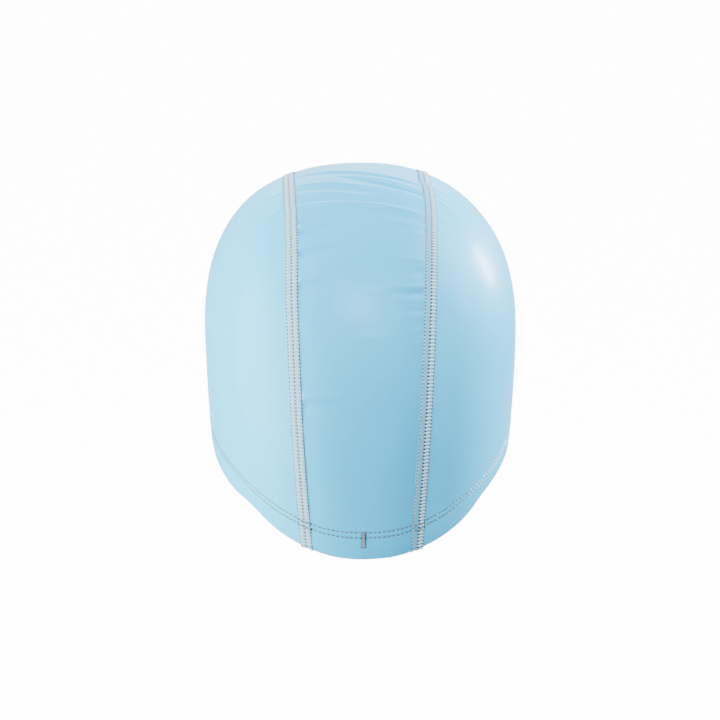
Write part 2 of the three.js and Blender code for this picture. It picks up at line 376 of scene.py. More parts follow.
FORM = CapForm()
STEPS_LEFT = ((0.28, 0.0004, 0.02), (0.404, -0.0005, 0.005), (0.47, -0.0003, 0.02))
STEPS_RIGHT = ((0.43, -0.0005, 0.02), (0.472, -0.0017, 0.006), (0.78, 0.0022, 0.08))
SEAM_LEFT = SeamLine(Side.LEFT, 0.442, 0.36, 2.2, STEPS_LEFT)
SEAM_RIGHT = SeamLine(Side.RIGHT, 0.44, 0.32, 1.0, STEPS_RIGHT)
SEAMS = (SEAM_LEFT, SEAM_RIGHT)
SEAM_EDGE = 0.003


# Folds of the stretched cloth


@dataclass(frozen=True)
class CrossFold:
    """A fold across the centre panel, along a slightly bowed line.

    Attributes:
        left: Share of the strip's length where it meets the left seam.
        middle: The same on the middle line.
        right: The same at the right seam.
        start: Share of the strip's width where it begins.
        stop: Share of the strip's width where it dies out.
        rise: Height in millimetres, negative for a furrow.
        breadth: Half breadth in millimetres.
    """

    left: float
    middle: float
    right: float
    start: float
    stop: float
    rise: float
    breadth: float

    def height(self, along: Array, across: Array, length: float) -> Array:
        """Height of the fold at places of the strip.

        Args:
            along: Shares of the strip's length.
            across: Shares of the strip's width.
            length: Length of the strip in metres.

        Returns:
            Heights in metres.
        """
        bow = self.left * (1 - across) * (1 - 2 * across) + self.middle * 4 * across * (1 - across)
        line = bow + self.right * across * (2 * across - 1)
        distance = (along - line) * length
        middle, half = (self.start + self.stop) / 2, (self.stop - self.start) / 2
        ends = np.sqrt(bump(across - middle, half))
        return self.rise * MM * bump(distance, self.breadth * MM) * ends


@dataclass(frozen=True)
class EdgePucker:
    """A short pucker that starts at a seam.

    Attributes:
        along: Share of the seam's length.
        reach: Length away from the seam in millimetres.
        rise: Height in millimetres.
        breadth: Half breadth in millimetres.
        lean: Drift along the seam for each millimetre away from it.
        start: Metres from the seam's edge over which it rises.
        fading: Exponent with which it dies out.
    """

    along: float
    reach: float
    rise: float
    breadth: float
    lean: float = 0.0
    start: float = 0.0015
    fading: float = 1.2

    def height(self, along: Array, away: Array, length: float) -> Array:
        """Height of the pucker at places beside the seam, in metres."""
        distance = (along - self.along) * length - self.lean * away
        fade = np.clip(1 - away / (self.reach * MM), 0, 1)
        begun = np.clip(away / self.start, 0, 1)
        return self.rise * MM * bump(distance, self.breadth * MM) * fade**self.fading * begun


CROSS_FOLDS = (
    CrossFold(0.537, 0.535, 0.515, -0.05, 1.05, 0.5, 5.0),
    CrossFold(0.506, 0.485, 0.461, -0.05, 1.05, 0.9, 2.8),
    CrossFold(0.490, 0.470, 0.443, 0.30, 1.05, 0.35, 2.6),
    CrossFold(0.500, 0.456, 0.428, 0.32, 1.05, -1.0, 3.4),
    CrossFold(0.467, 0.440, 0.42, -0.05, 0.60, 0.7, 2.6),
    CrossFold(0.448, 0.425, 0.41, -0.05, 0.75, -0.6, 4.0),
    CrossFold(0.402, 0.392, 0.3805, -0.05, 1.05, 1.35, 2.6),
    CrossFold(0.388, 0.380, 0.367, 0.30, 1.05, -0.7, 3.6),
    CrossFold(0.376, 0.364, 0.357, 0.60, 1.05, 0.5, 3.0),
    CrossFold(0.205, 0.205, 0.205, 0.30, 0.95, 0.15, 4.0),
)

PUCKERS_CENTRE_LEFT = (
    EdgePucker(0.385, 26, 0.6, 3.0),
    EdgePucker(0.376, 26, 1.0, 2.0),
    EdgePucker(0.3675, 24, -1.1, 2.0),
    EdgePucker(0.3595, 34, 1.5, 2.2, -0.03),
    EdgePucker(0.349, 34, -1.6, 2.2, -0.03),
    EdgePucker(0.323, 28, 1.1, 2.4),
    EdgePucker(0.313, 30, -1.2, 2.6),
    EdgePucker(0.277, 30, 1.0, 2.2, -0.09),
    EdgePucker(0.268, 26, -1.0, 2.2, -0.09),
    EdgePucker(0.2585, 20, -0.4, 2.2, -0.05),
    EdgePucker(0.139, 26, 0.6, 2.6, 0.05),
    EdgePucker(0.130, 24, -0.6, 2.6, 0.05),
)
PUCKERS_CENTRE_RIGHT = (
    EdgePucker(0.342, 16, 0.4, 2.6),
    EdgePucker(0.302, 34, 0.5, 2.0, 0.04),
    EdgePucker(0.285, 28, -0.6, 5.0, 0.05),
    EdgePucker(0.2655, 30, 0.8, 2.2),
    EdgePucker(0.2565, 34, -0.8, 2.2),
    EdgePucker(0.247, 20, 0.4, 1.8, 0.05),
    EdgePucker(0.236, 18, -0.35, 1.8),
    EdgePucker(0.228, 16, 0.35, 1.8),
    EdgePucker(0.212, 13, 0.3, 1.8),
    EdgePucker(0.198, 12, 0.25, 1.6),
    EdgePucker(0.17, 10, 0.2, 1.6),
)
PUCKERS_SIDE = {}
PUCKERS_SIDE[Side.LEFT] = (
    EdgePucker(0.46, 24, 0.5, 3.0, -0.3),
    EdgePucker(0.41, 26, 0.7, 3.0, -0.35),
    EdgePucker(0.385, 20, -0.5, 2.4, -0.3),
    EdgePucker(0.35, 16, 0.45, 2.4, -0.2),
    EdgePucker(0.276, 16, 0.4, 2.0),
    EdgePucker(0.098, 14, 0.4, 2.2),
)
PUCKERS_SIDE[Side.RIGHT] = (
    EdgePucker(0.47, 34, 0.7, 2.6, -0.45),
    EdgePucker(0.445, 30, -0.4, 2.4, -0.5),
    EdgePucker(0.43, 30, 0.7, 2.4, -0.5),
    EdgePucker(0.41, 20, -0.45, 2.4, -0.5),
    EdgePucker(0.385, 24, 0.6, 2.6, -0.5),
    EdgePucker(0.36, 18, 0.4, 2.4, -0.4),
    EdgePucker(0.13, 12, 0.2, 2.0),
)


RIPPLES = ((1.93, 1.0, 0.5), (1.13, 2.1, 0.7), (0.71, 4.0, 0.6))
RIPPLE_HEIGHT = 0.06 * MM
RIPPLE_REACH = 0.0042


def ripple(along: Array, away: Array, phase: float) -> Array:
    """Fine gathers that the seam's stitches draw into the cloth beside it.

    Args:
        along: Shares of the seam's length.
        away: Metres from the seam's edge.
        phase: A turn that sets one edge apart from another.

    Returns:
        Heights in metres.
    """
    s = along * FORM.strip_length / MM
    wave = sum(np.sin(s * rate + lead * phase) * share for rate, lead, share in RIPPLES)
    swell = 0.55 + 0.45 * np.sin(s * 0.083 + phase) * np.sin(s * 0.031 + 3 * phase)
    return RIPPLE_HEIGHT * wave * swell * np.exp(-((away / RIPPLE_REACH) ** 2)) * (away > 0)


def drift(p: Array) -> Array:
    """Broad, very shallow unevenness of a stretched cloth, fuller at the left shoulder, in metres."""
    x, y, z = np.moveaxis(p, -1, 0)
    broad = np.sin(x * 71 + 1.3) * np.sin(z * 58 + 0.4) * np.cos(y * 49)
    close = np.sin(x * 131 + 2.0) * np.sin(z * 117) * np.cos(y * 103 + 1.1)
    shoulder = np.exp(-(((x + 0.060) / 0.024) ** 2)) * smooth((z - 0.10) / 0.045)
    return MM * (0.22 * broad + 0.08 * close + 1.6 * shoulder)


# Meshes from grids


@dataclass
class SheetGrid:
    """Outer and inner face of a piece of cloth, as two grids of points with the same rows and columns.

    Attributes:
        outer: Points of the outer face, rows by columns by three.
        inner: Points of the inner face.
        flat: Flat coordinates for the weave, rows by columns by two, in metres.
    """

    outer: Array
    inner: Array
    flat: Array

    def build(self, name: str, outside: bpy.types.Material, inside: bpy.types.Material) -> bpy.types.Object:
        """Makes the closed piece, with equal corners joined.

        Args:
            name: Name of the piece.
            outside: Finish of the outer face and the rims.
            inside: Finish of the inner face.

        Returns:
            The new object, at the origin.
        """
        rows, columns = self.outer.shape[:2]
        count = rows * columns
        index = np.arange(count).reshape(rows, columns)
        a, b = index[:-1, :-1].ravel(), index[:-1, 1:].ravel()
        c, d = index[1:, 1:].ravel(), index[1:, :-1].ravel()
        ring = np.concatenate([index[0, :], index[1:, -1], index[-1, -2::-1], index[-2:0:-1, 0]])
        after = np.roll(ring, -1)
        faces = [
            np.stack([a, b, c, d], 1),
            np.stack([a, d, c, b], 1) + count,
            np.stack([after, ring, ring + count, after + count], 1),
        ]
        slots = np.repeat([0, 1, 0], [len(part) for part in faces])
        points = np.concatenate([self.outer.reshape(-1, 3), self.inner.reshape(-1, 3)])
        flat = np.concatenate([self.flat.reshape(-1, 2)] * 2)
        mesh = bpy.data.meshes.new(name)
        mesh.from_pydata(points.tolist(), [], np.concatenate(faces).tolist())
        layer = mesh.uv_layers.new(name="weave")
        corners = np.empty(len(mesh.loops), int)
        mesh.loops.foreach_get("vertex_index", corners)
        layer.data.foreach_set("uv", flat[corners].ravel())
        mesh.polygons.foreach_set("material_index", slots)
        build = bmesh.new()
        build.from_mesh(mesh)
        bmesh.ops.remove_doubles(build, verts=build.verts, dist=2e-6)
        bmesh.ops.dissolve_degenerate(build, edges=build.edges, dist=1e-7)
        build.to_mesh(mesh)
        build.free()
        return show(mesh, (outside, inside))


def show(mesh: bpy.types.Mesh, finishes: Sequence[bpy.types.Material]) -> bpy.types.Object:
    """Shades a mesh smooth, gives it its finishes and puts it in the scene, at the origin."""
    mesh.polygons.foreach_set("use_smooth", np.ones(len(mesh.polygons), bool))
    mesh.update()
    for finish in finishes:
        mesh.materials.append(finish)
    obj = bpy.data.objects.new(mesh.name, mesh)
    bpy.context.scene.collection.objects.link(obj)
    return obj


@dataclass
class Frames:
    """Places with three directions each, for stitches to be laid at.

    Attributes:
        origin: Points.
        across: Directions across the row of stitches.
        along: Directions along the row.
        out: Directions out of the cloth.
    """

    origin: Array
    across: Array
    along: Array
    out: Array

    def chosen(self, mask: Array) -> "Frames":
        """The places that a mask or a list of numbers picks."""
        return Frames(self.origin[mask], self.across[mask], self.along[mask], self.out[mask])

    def lay(self, points: Array, turn: Array | float, stretch: Array | float) -> Array:
        """Copies of a stitch's points at every place.

        Args:
            points: Points of one stitch: across, along and out.
            turn: Turn of each copy in the cloth's plane, in radians.
            stretch: Size of each copy along the row, as a share.

        Returns:
            Points of all copies, copies by points by three.
        """
        turn, stretch, _ = np.broadcast_arrays(turn, stretch, self.origin[:, 0])
        c, s = np.cos(turn)[:, None], np.sin(turn)[:, None]
        a, b = points[None, :, 0], points[None, :, 1] * stretch[:, None]
        x, y = a * c - b * s, a * s + b * c
        z = np.broadcast_to(points[None, :, 2], x.shape)
        parts = [(self.across, x), (self.along, y), (self.out, z)]
        return self.origin[:, None, :] + sum(d[:, None, :] * v[..., None] for d, v in parts)


@dataclass
class StitchRow:
    """Copies of one pattern at many places.

    Attributes:
        pattern: The pattern.
        finish: Its finish.
        places: Where the copies lie.
        turn: Turn of each copy, or of all.
        stretch: Size of each copy along the row, or of all.
    """

    pattern: "ThreadPattern | HolePattern"
    finish: bpy.types.Material
    places: Frames
    turn: Array | float = 0.0
    stretch: Array | float = 1.0


def lay_stitches(name: str, rows: Sequence[StitchRow]) -> bpy.types.Object:
    """Joins copies of stitches into one piece of thread.

    Args:
        name: Name of the piece.
        rows: The stitches.

    Returns:
        The new object, with the rows' finishes.
    """
    points, faces, slots, finishes = [], [], [], []
    start = 0
    for row in rows:
        model = row.pattern.build()
        own = np.array([v.co[:] for v in model.data.vertices])
        laid = row.places.lay(own, row.turn, row.stretch)
        if row.finish not in finishes:
            finishes.append(row.finish)
        for copy in range(len(laid)):
            shift = start + copy * len(own)
            faces.extend([[v + shift for v in p.vertices] for p in model.data.polygons])
        slots.extend([finishes.index(row.finish)] * (len(laid) * len(model.data.polygons)))
        points.append(laid.reshape(-1, 3))
        start += laid.shape[0] * laid.shape[1]
        bpy.data.objects.remove(model)
    mesh = bpy.data.meshes.new(name)
    mesh.from_pydata(np.concatenate(points).tolist(), [], faces)
    mesh.polygons.foreach_set("material_index", slots)
    threads = show(mesh, finishes)
    return threads


# Finishes


class Tree:
    """Short calls for laying out the nodes of a material or a group."""

    def __init__(self, tree: bpy.types.NodeTree) -> None:
        """Takes the tree that nodes are added to."""
        self.tree = tree

    def add(self, kind: str, **values: object) -> bpy.types.Node:
        """Adds a node.

        Args:
            kind: Blender's name of the node's type.
            values: Its settings, as for the method set.

        Returns:
            The node.
        """
        made = self.tree.nodes.new(kind)
        self.set(made, **values)
        return made

    def set(self, node: bpy.types.Node, **values: object) -> None:
        """Sets up a node.

        Args:
            node: The node.
            values: Settings of the node, or values and links of its inputs with _ for a space.
        """
        for name, value in values.items():
            if hasattr(node, name):
                setattr(node, name, value)
            else:
                self.feed(node.inputs[name.replace("_", " ")], value)

    def feed(self, socket: Socket, value: object) -> None:
        """Gives an input a link or a value."""
        if isinstance(value, Socket):
            self.tree.links.new(value, socket)
        else:
            socket.default_value = value

    def math(self, operation: str, *values: Socket | float) -> Socket:
        """Adds a sum or function of numbers and links, and returns its result."""
        made = self.add("ShaderNodeMath", operation=operation)
        for socket, value in zip(made.inputs, values):
            self.feed(socket, value)
        return made.outputs[0]

    def scale_range(self, value: Socket, low: float, high: float) -> Socket:
        """Moves a value from 0 to 1 into a range, and returns the result."""
        return self.add("ShaderNodeMapRange", Value=value, To_Min=low, To_Max=high).outputs[0]

    def mix(self, mask: Socket, low: Socket | Colour, high: Socket | Colour) -> Socket:
        """Mixes two colours by a mask, which is the share of the second, and returns the result."""
        made = self.add("ShaderNodeMix", data_type="RGBA", Factor=mask)
        for socket, colour in zip((made.inputs[6], made.inputs[7]), (low, high)):
            self.feed(socket, colour if isinstance(colour, Socket) else (*colour, 1.0))
        return made.outputs[2]

    def effect(self, group: bpy.types.NodeTree, place: Socket, **values: float) -> bpy.types.Node:
        """Adds a shared effect at some coordinates and returns its node."""
        return self.add("ShaderNodeGroup", node_tree=group, Vector=place, **values)

    def here(self) -> Socket:
        """Adds the object's own coordinates and returns them."""
        return self.add("ShaderNodeTexCoord").outputs["Object"]

    def weave(self) -> Socket:
        """Adds the flat coordinates of the cloth and returns them."""
        return self.add("ShaderNodeUVMap", uv_map="weave").outputs[0]

    def lumps(self, height: Socket, strength: float, distance: float) -> Socket:
        """Adds small lumps and returns their directions."""
        return self.add("ShaderNodeBump", Height=height, Strength=strength, Distance=distance).outputs[0]


def new_group(
    name: str, inputs: dict[str, tuple[str, object]], outputs: Sequence[str]
) -> tuple[Tree, dict[str, Socket], dict[str, Socket]]:
    """Starts a node group whose results are numbers.

    Args:
        name: Name of the group.
        inputs: Kind and first value of each input; None for a value that is always linked.
        outputs: Name of each output.

    Returns:
        The tree, the sockets that inputs arrive at, and the sockets that outputs leave by.
    """
    group = bpy.data.node_groups.new(name, "ShaderNodeTree")
    for label, (kind, value) in inputs.items():
        made = group.interface.new_socket(name=label, in_out="INPUT", socket_type=kind)
        if value is not None:
            made.default_value = value
    for label in outputs:
        group.interface.new_socket(name=label, in_out="OUTPUT", socket_type="NodeSocketFloat")
    tree = Tree(group)
    start, end = group.nodes.new("NodeGroupInput"), group.nodes.new("NodeGroupOutput")
    return tree, {k: start.outputs[k] for k in inputs}, {k: end.inputs[k] for k in outputs}


def mottle_group() -> bpy.types.NodeTree:
    """Cloudy unevenness of a coating: a mask around one half."""
    inputs = {"Vector": ("NodeSocketVector", None), "Contrast": ("NodeSocketFloat", 0.5)}
    tree, given, result = new_group("coating_mottle", inputs, ["Mask"])
    noise = []
    for scale, detail, roughness, share in ((26.0, 3.0, 0.55, 0.65), (420.0, 2.0, 0.6, 0.35)):
        made = tree.add(
            "ShaderNodeTexNoise", Vector=given["Vector"], Scale=scale, Detail=detail, Roughness=roughness
        )
        noise.append(tree.math("MULTIPLY", made.outputs[0], share))
    spread = tree.math("MULTIPLY", tree.math("SUBTRACT", tree.math("ADD", *noise), 0.5), given["Contrast"])
    tree.feed(result["Mask"], tree.math("ADD", spread, 0.5))
    return tree.tree


def knit_group() -> bpy.types.NodeTree:
    """Rows of knitted loops: a height, and the same as a mask of painted shade, dark between the loops."""
    inputs = {"Vector": ("NodeSocketVector", None), "Pitch": ("NodeSocketFloat", 0.0008)}
    tree, given, result = new_group("knit_loops", inputs, ["Height", "Mask"])
    parts = tree.add("ShaderNodeSeparateXYZ", Vector=given["Vector"])
    wale = tree.math("DIVIDE", parts.outputs[0], given["Pitch"])
    course = tree.math("DIVIDE", parts.outputs[1], given["Pitch"])
    side = tree.math("ABSOLUTE", tree.math("SINE", tree.math("MULTIPLY", wale, math.pi)))
    lean = tree.math("MULTIPLY", side, 2.4)
    slope = tree.math("ADD", tree.math("MULTIPLY", course, math.tau * 0.8), lean)
    loop = tree.math("MULTIPLY_ADD", tree.math("SINE", slope), 0.5, 0.5)
    height = tree.math("MULTIPLY", tree.math("POWER", side, 0.6), tree.math("MULTIPLY_ADD", loop, 0.6, 0.4))
    for socket in result.values():
        tree.feed(socket, height)
    return tree.tree


def fuzz_group() -> bpy.types.NodeTree:
    """Fine fibres of a spun thread: a height, and a mask that is half tone that differs at random and half
    painted shade between the fibres.
    """
    inputs = {"Vector": ("NodeSocketVector", None), "Scale": ("NodeSocketFloat", 3000.0)}
    tree, given, result = new_group("thread_fibres", inputs, ["Height", "Mask"])
    place = given["Vector"]
    fibre = tree.add("ShaderNodeTexNoise", Vector=place, Scale=given["Scale"], Detail=3.0, Roughness=0.7)
    shade = tree.add("ShaderNodeTexNoise", Vector=place, Scale=310.0, Detail=2.0)
    tree.feed(result["Height"], fibre.outputs[0])
    # Half the mask follows the fibres' height, which paints shade between them; the other half is random
    # tone.
    half = tree.math("MULTIPLY", shade.outputs[0], 0.5)
    tree.feed(result["Mask"], tree.math("ADD", half, tree.math("MULTIPLY", fibre.outputs[0], 0.5)))
    return tree.tree


class Groups:
    """The shared effects, each built once."""

    def __init__(self) -> None:
        """Builds the groups."""
        self.mottle = mottle_group()
        self.knit = knit_group()
        self.fuzz = fuzz_group()


@dataclass(frozen=True)
class Finish:
    """A material with one Principled shader, whose colour a mask moves between a deep and a pale one.

    Attributes:
        name: Name of the material.
        deep: Deepest colour, linear.
        pale: Palest colour.
    """

    name: str
    deep: Colour
    pale: Colour

    def build(self, groups: Groups) -> bpy.types.Material:
        """Makes the material."""
        material = bpy.data.materials.new(self.name)
        material.use_nodes = True
        tree = Tree(material.node_tree)
        tree.set(material.node_tree.nodes["Principled BSDF"], **self.inputs(tree, groups))
        return material

    def inputs(self, tree: Tree, groups: Groups) -> dict[str, object]:
        """Values and links of the shader's inputs, with _ for a space in their names."""
        raise NotImplementedError


@dataclass(frozen=True)
class CoatedCloth(Finish):
    """Stretch knit with a smooth satin coating on its outer face.

    Attributes:
        roughness: Roughness at its smoothest and roughest.
        veil: Weight of the pale lavender sheen, which shows where the cloth turns away.
        coat: Weight of the clear top coat.
    """

    roughness: tuple[float, float] = (0.42, 0.52)
    veil: float = 0.30
    coat: float = 0.20

    def inputs(self, tree: Tree, groups: Groups) -> dict[str, object]:
        """Inputs of the coated face."""
        place = tree.here()
        mottle = tree.effect(groups.mottle, place, Contrast=1.3).outputs["Mask"]
        knit = tree.effect(groups.knit, tree.weave(), Pitch=0.0009).outputs["Height"]
        fine = tree.add("ShaderNodeTexNoise", Vector=place, Scale=900.0, Detail=2.0).outputs[0]
        height = tree.math("MULTIPLY_ADD", knit, 0.35, tree.math("MULTIPLY", fine, 0.65))
        return {
            "Base_Color": tree.mix(mottle, self.deep, self.pale),
            "Roughness": tree.scale_range(mottle, *self.roughness),
            "Normal": tree.lumps(height, 0.12, 0.00012),
            "Sheen_Weight": self.veil,
            "Sheen_Roughness": 0.18,
            "Sheen_Tint": (0.88, 0.90, 1.0, 1.0),
            "Coat_Weight": self.coat,
            "Coat_Roughness": 0.25,
            "Coat_IOR": 1.45,
            "Specular_IOR_Level": 0.12,
        }


class KnitBack(Finish):
    """The bare knitted inner face of the cloth, with painted shade deep between the loops."""

    def inputs(self, tree: Tree, groups: Groups) -> dict[str, object]:
        """Inputs of the knit."""
        knit = tree.effect(groups.knit, tree.weave(), Pitch=0.0011)
        return {
            # Painted shade: the colour deepens where the loops' height is low.
            "Base_Color": tree.mix(knit.outputs["Mask"], self.deep, self.pale),
            "Normal": tree.lumps(knit.outputs["Height"], 0.7, 0.0003),
            "Roughness": 0.85,
            "Sheen_Weight": 0.2,
        }


@dataclass(frozen=True)
class SewingThread(Finish):
    """Textured sewing thread, its tone differing at random and deep with painted shade between the fibres.

    Attributes:
        shine: Strength of its gloss.
        roughness: Roughness of its gloss.
    """

    shine: float = 0.3
    roughness: float = 0.7

    def inputs(self, tree: Tree, groups: Groups) -> dict[str, object]:
        """Inputs of the thread."""
        fuzz = tree.effect(groups.fuzz, tree.here(), Scale=3200.0)
        return {
            "Base_Color": tree.mix(fuzz.outputs["Mask"], self.deep, self.pale),
            "Normal": tree.lumps(fuzz.outputs["Height"], 0.5, 0.00008),
            "Roughness": self.roughness,
            "Specular_IOR_Level": self.shine,
        }


@dataclass(frozen=True)
class SeamBed(Finish):
    """Joined cloth edges under a seam's threads, with fibres over them and a dot of painted shade at each
    needle hole.

    Attributes:
        hole: Colour of the painted shade in the needle holes.
        pitch: Distance from stitch to stitch, in metres.
        line: Distance from needle line to needle line.
        hole_radii: Radii at which a hole's shade begins to fade and ends.
    """

    hole: Colour
    pitch: float
    line: float
    hole_radii: tuple[float, float] = (0.00022, 0.00055)

    def inputs(self, tree: Tree, groups: Groups) -> dict[str, object]:
        """Inputs of the bed."""
        parts = tree.add("ShaderNodeSeparateXYZ", Vector=tree.weave())
        across = tree.math("PINGPONG", parts.outputs[0], self.line / 2)
        along = tree.math("PINGPONG", parts.outputs[1], self.pitch / 2)
        square = tree.math("ADD", tree.math("POWER", across, 2.0), tree.math("POWER", along, 2.0))
        low, high = self.hole_radii
        # Painted shade: the bed's colour darkens towards the hole colour round each needle hole.
        clear = tree.add(
            "ShaderNodeMapRange", Value=tree.math("SQRT", square), interpolation_type="SMOOTHSTEP",
            From_Min=low, From_Max=high,
        )
        fuzz = tree.effect(groups.fuzz, tree.here(), Scale=2200.0)
        # The fibre mask gives the bed random tone and painted shade between the fibres.
        bed = tree.mix(fuzz.outputs["Mask"], self.deep, self.pale)
        return {
            "Base_Color": tree.mix(clear.outputs[0], self.hole, bed),
            "Normal": tree.lumps(fuzz.outputs["Height"], 0.5, 0.0001),
            "Roughness": 0.8,
        }


@dataclass(frozen=True)
class PaleFloor(Finish):
    """Plain pale floor of the studio, lit from below.

    Attributes:
        glow: Strength of its own light as it is seen.
        spill: Strength of the light that it throws on the cap.
    """

    glow: float
    spill: float

    def inputs(self, tree: Tree, groups: Groups) -> dict[str, object]:
        """Inputs of the floor."""
        cloud = tree.effect(groups.mottle, tree.here(), Contrast=0.1)
        seen = tree.add("ShaderNodeLightPath").outputs["Is Camera Ray"]
        return {
            "Base_Color": tree.mix(cloud.outputs["Mask"], self.deep, self.pale),
            "Roughness": 0.9,
            "Emission_Color": (1.0, 1.0, 1.0, 1.0),
            "Emission_Strength": tree.scale_range(seen, self.spill, self.glow),
        }


STITCH_PITCH = 0.0019
NEEDLE_LINE = 0.00285
FINISHES = (
    CoatedCloth("centre_cloth", (0.001, 0.37, 0.70), (0.006, 0.45, 0.79), veil=0.23),
    # The side panels are the centre panel's cloth; their paler colour is painted light, for the light they
    # catch more than the centre.
    CoatedCloth("side_cloth", (0.004, 0.46, 0.81), (0.016, 0.545, 0.91)),
    KnitBack("knit_back", (0.05, 0.32, 0.52), (0.12, 0.50, 0.70)),
    SewingThread("seam_thread", (0.36, 0.45, 0.53), (0.55, 0.61, 0.68)),
    # Copies of the seam thread: the bold one is paler with painted light and the fine one deeper with painted
    # shade, for the right seam's lit and shaded halves.
    SewingThread("bold_yarn_painted_lit", (0.52, 0.58, 0.64), (0.72, 0.75, 0.80)),
    SewingThread("fine_yarn_painted_shade", (0.09, 0.20, 0.35), (0.26, 0.36, 0.52)),
    # The three hem threads are one thread: the deep copy is painted shade and the paler copies are painted
    # light towards the right.
    SewingThread("hem_yarn_painted_shade", (0.11, 0.15, 0.19), (0.24, 0.29, 0.34), 0.9, 0.25),
    SewingThread("hem_yarn_painted_half_lit", (0.30, 0.36, 0.40), (0.46, 0.52, 0.56), 0.9, 0.25),
    SewingThread("hem_yarn_painted_lit", (0.60, 0.66, 0.70), (0.80, 0.84, 0.88), 0.9, 0.25),
    SewingThread("tack_thread", (0.12, 0.13, 0.17), (0.30, 0.31, 0.35)),
    SewingThread("end_thread", (0.03, 0.05, 0.08), (0.16, 0.18, 0.22)),
    # The needle holes' near-black finish is painted shade.
    SewingThread("needle_hole_shade", (0.004, 0.016, 0.035), (0.012, 0.03, 0.055), 0.1),
    # The seam bed's third colour is the painted shade in its needle holes.
    SeamBed(
        "seam_bed", (0.03, 0.34, 0.58), (0.14, 0.44, 0.64), (0.01, 0.06, 0.11), STITCH_PITCH, NEEDLE_LINE
    ),
    PaleFloor("pale_floor", (0.3465, 0.3465, 0.3564), (0.35, 0.35, 0.36), 14.0, 0.30),
)
Wardrobe = dict[str, bpy.types.Material]


# The turned edge of the cloth


@dataclass(frozen=True)
class TurnedEdge:
    """The way the cloth's lower edge turns inwards and up to form the hem, and the relief of its stitches.

    Attributes:
        cloth: Thickness of the cloth.
        fold: Outer radius of the fold.
        depth: Height of the turned-in edge above the fold.
        band: Height up to which rows follow the hem.
        band_rows: Rows in that band.
        arc_steps: Steps round the fold.
        inner_rows: Rows on the turned-in part.
        upper_row: Height of the upper row of hem stitches, above the edge where the hem is at its plainest.
        row_gap: Distance between the rows, at the nape and at the sides.
    """

    cloth: float = 0.0007
    fold: float = 0.0011
    depth: float = 0.0135
    band: float = 0.0185
    band_rows: int = 41
    arc_steps: int = 6
    inner_rows: int = 6
    upper_row: float = 0.0133
    row_gap: tuple[float, float] = (0.0029, 0.0021)

    def wall(self, inner_face: bool) -> float:
        """Depth of a face of the cloth below its outer face."""
        return self.cloth if inner_face else 0.0

    def rows_down(self, inner_face: bool) -> tuple[Array, Array]:
        """Rows from the top of the band down to the fold, round it and up the inside.

        Args:
            inner_face: True for the cloth's inner face.

        Returns:
            Heights above the hem's edge, and depths below the outer face.
        """
        band = np.linspace(self.band, self.fold, self.band_rows)
        angle = np.linspace(0, math.pi, self.arc_steps + 1)[1:]
        radius = self.fold - self.wall(inner_face)
        rise = np.linspace(self.fold, self.depth, self.inner_rows + 1)[1:]
        height = np.concatenate([band, self.fold - radius * np.sin(angle), rise])
        turned = self.fold - radius * np.cos(angle)
        inside = np.full(self.inner_rows, turned[-1])
        return height, np.concatenate([np.full(self.band_rows, self.wall(inner_face)), turned, inside])

    def rows(self, p: Array) -> tuple[Array, Array]:
        """Heights of both rows of stitches above the hem's edge, beside points of the form."""
        x, y = p[..., 0], p[..., 1]
        upper = self.upper_row + FORM.edge_drop(x, y)
        gap = mix(self.row_gap[1], self.row_gap[0], smooth((np.abs(y) / FORM.nape.reach - 0.5) / 0.45))
        return upper - gap, upper

    def relief(self, height: Array, p: Array) -> Array:
        """Shape of the sewn hem: grooves under the stitches and soft swells between them.

        Args:
            height: Heights above the hem's edge.
            p: Points of the form.

        Returns:
            Heights above the plain cloth, in metres.
        """
        low, high = self.rows(p)
        grooves = -0.30 * bump(height - low, 0.0011) - 0.30 * bump(height - high, 0.0011)
        swells = 0.10 * bump(height - (low + high) / 2, 0.0014) + 0.24 * bump(height - low * 0.48, low * 0.5)
        step = 0.12 * np.clip(1 - (height - high) / 0.004, 0, 1)
        return MM * (grooves + swells + step)


EDGE = TurnedEdge()


def seam_dip(p: Array, turn: Array) -> Array:
    """How far the pulled-in seams draw the cloth inwards around them, less so over the crown.

    Args:
        p: Points of the form.
        turn: Their turns about the crosswise axis.

    Returns:
        Depths in metres, below zero.
    """
    dip = np.zeros(p.shape[:-1])
    pull = MM * (0.42 - 0.36 * smooth((p[..., 2] - 0.135) / 0.03))
    for seam in SEAMS:
        away = np.clip(np.abs(p[..., 0] - FORM.seam_x(seam, turn)) - SEAM_EDGE, 0, None)
        dip -= pull * np.exp(-((away / 0.0065) ** 2))
    return dip


@dataclass
class Face:
    """One face of a piece of cloth, as grids of values with the same rows and columns.

    Attributes:
        point: Points of the plain form.
        normal: Directions out of it.
        depth: Depth below the outer face.
        turn: Turns about the crosswise axis.
        height: Height above the hem's edge, and one metre above the hem's band.
    """

    point: Array
    normal: Array
    depth: Array
    turn: Array
    height: Array

    def __post_init__(self) -> None:
        """Spreads single rows and columns of values over the whole grid."""
        shape = self.turn.shape
        self.depth = np.broadcast_to(self.depth, shape)
        self.height = np.broadcast_to(self.height, shape)

    def settled(self, folds: Array) -> Array:
        """Folds with the sewn hem, the cloth's unevenness and the pull of the seams.

        Args:
            folds: Height of folds and puckers, which die out at the hem.

        Returns:
            Heights above the plain form.
        """
        sewn = np.where(self.height < 0.5, EDGE.relief(self.height, self.point), 0.0)
        sewn = sewn * (self.depth < EDGE.fold * 0.9)
        return folds + sewn + drift(self.point) + seam_dip(self.point, self.turn)

    def raised(self, rise: Array) -> Array:
        """Points of the face once it is raised above the plain form."""
        return self.point + self.normal * (rise - self.depth)[..., None]


def row_shares(fine_share: float, fine_rows: int, coarse_rows: int) -> Array:
    """Shares of the way from hem to hem, fine over the nape's half and the crown and coarse after."""
    fine = np.linspace(0, fine_share, fine_rows + 1)
    return np.concatenate([fine, np.linspace(fine_share, 1, coarse_rows + 1)[1:]])


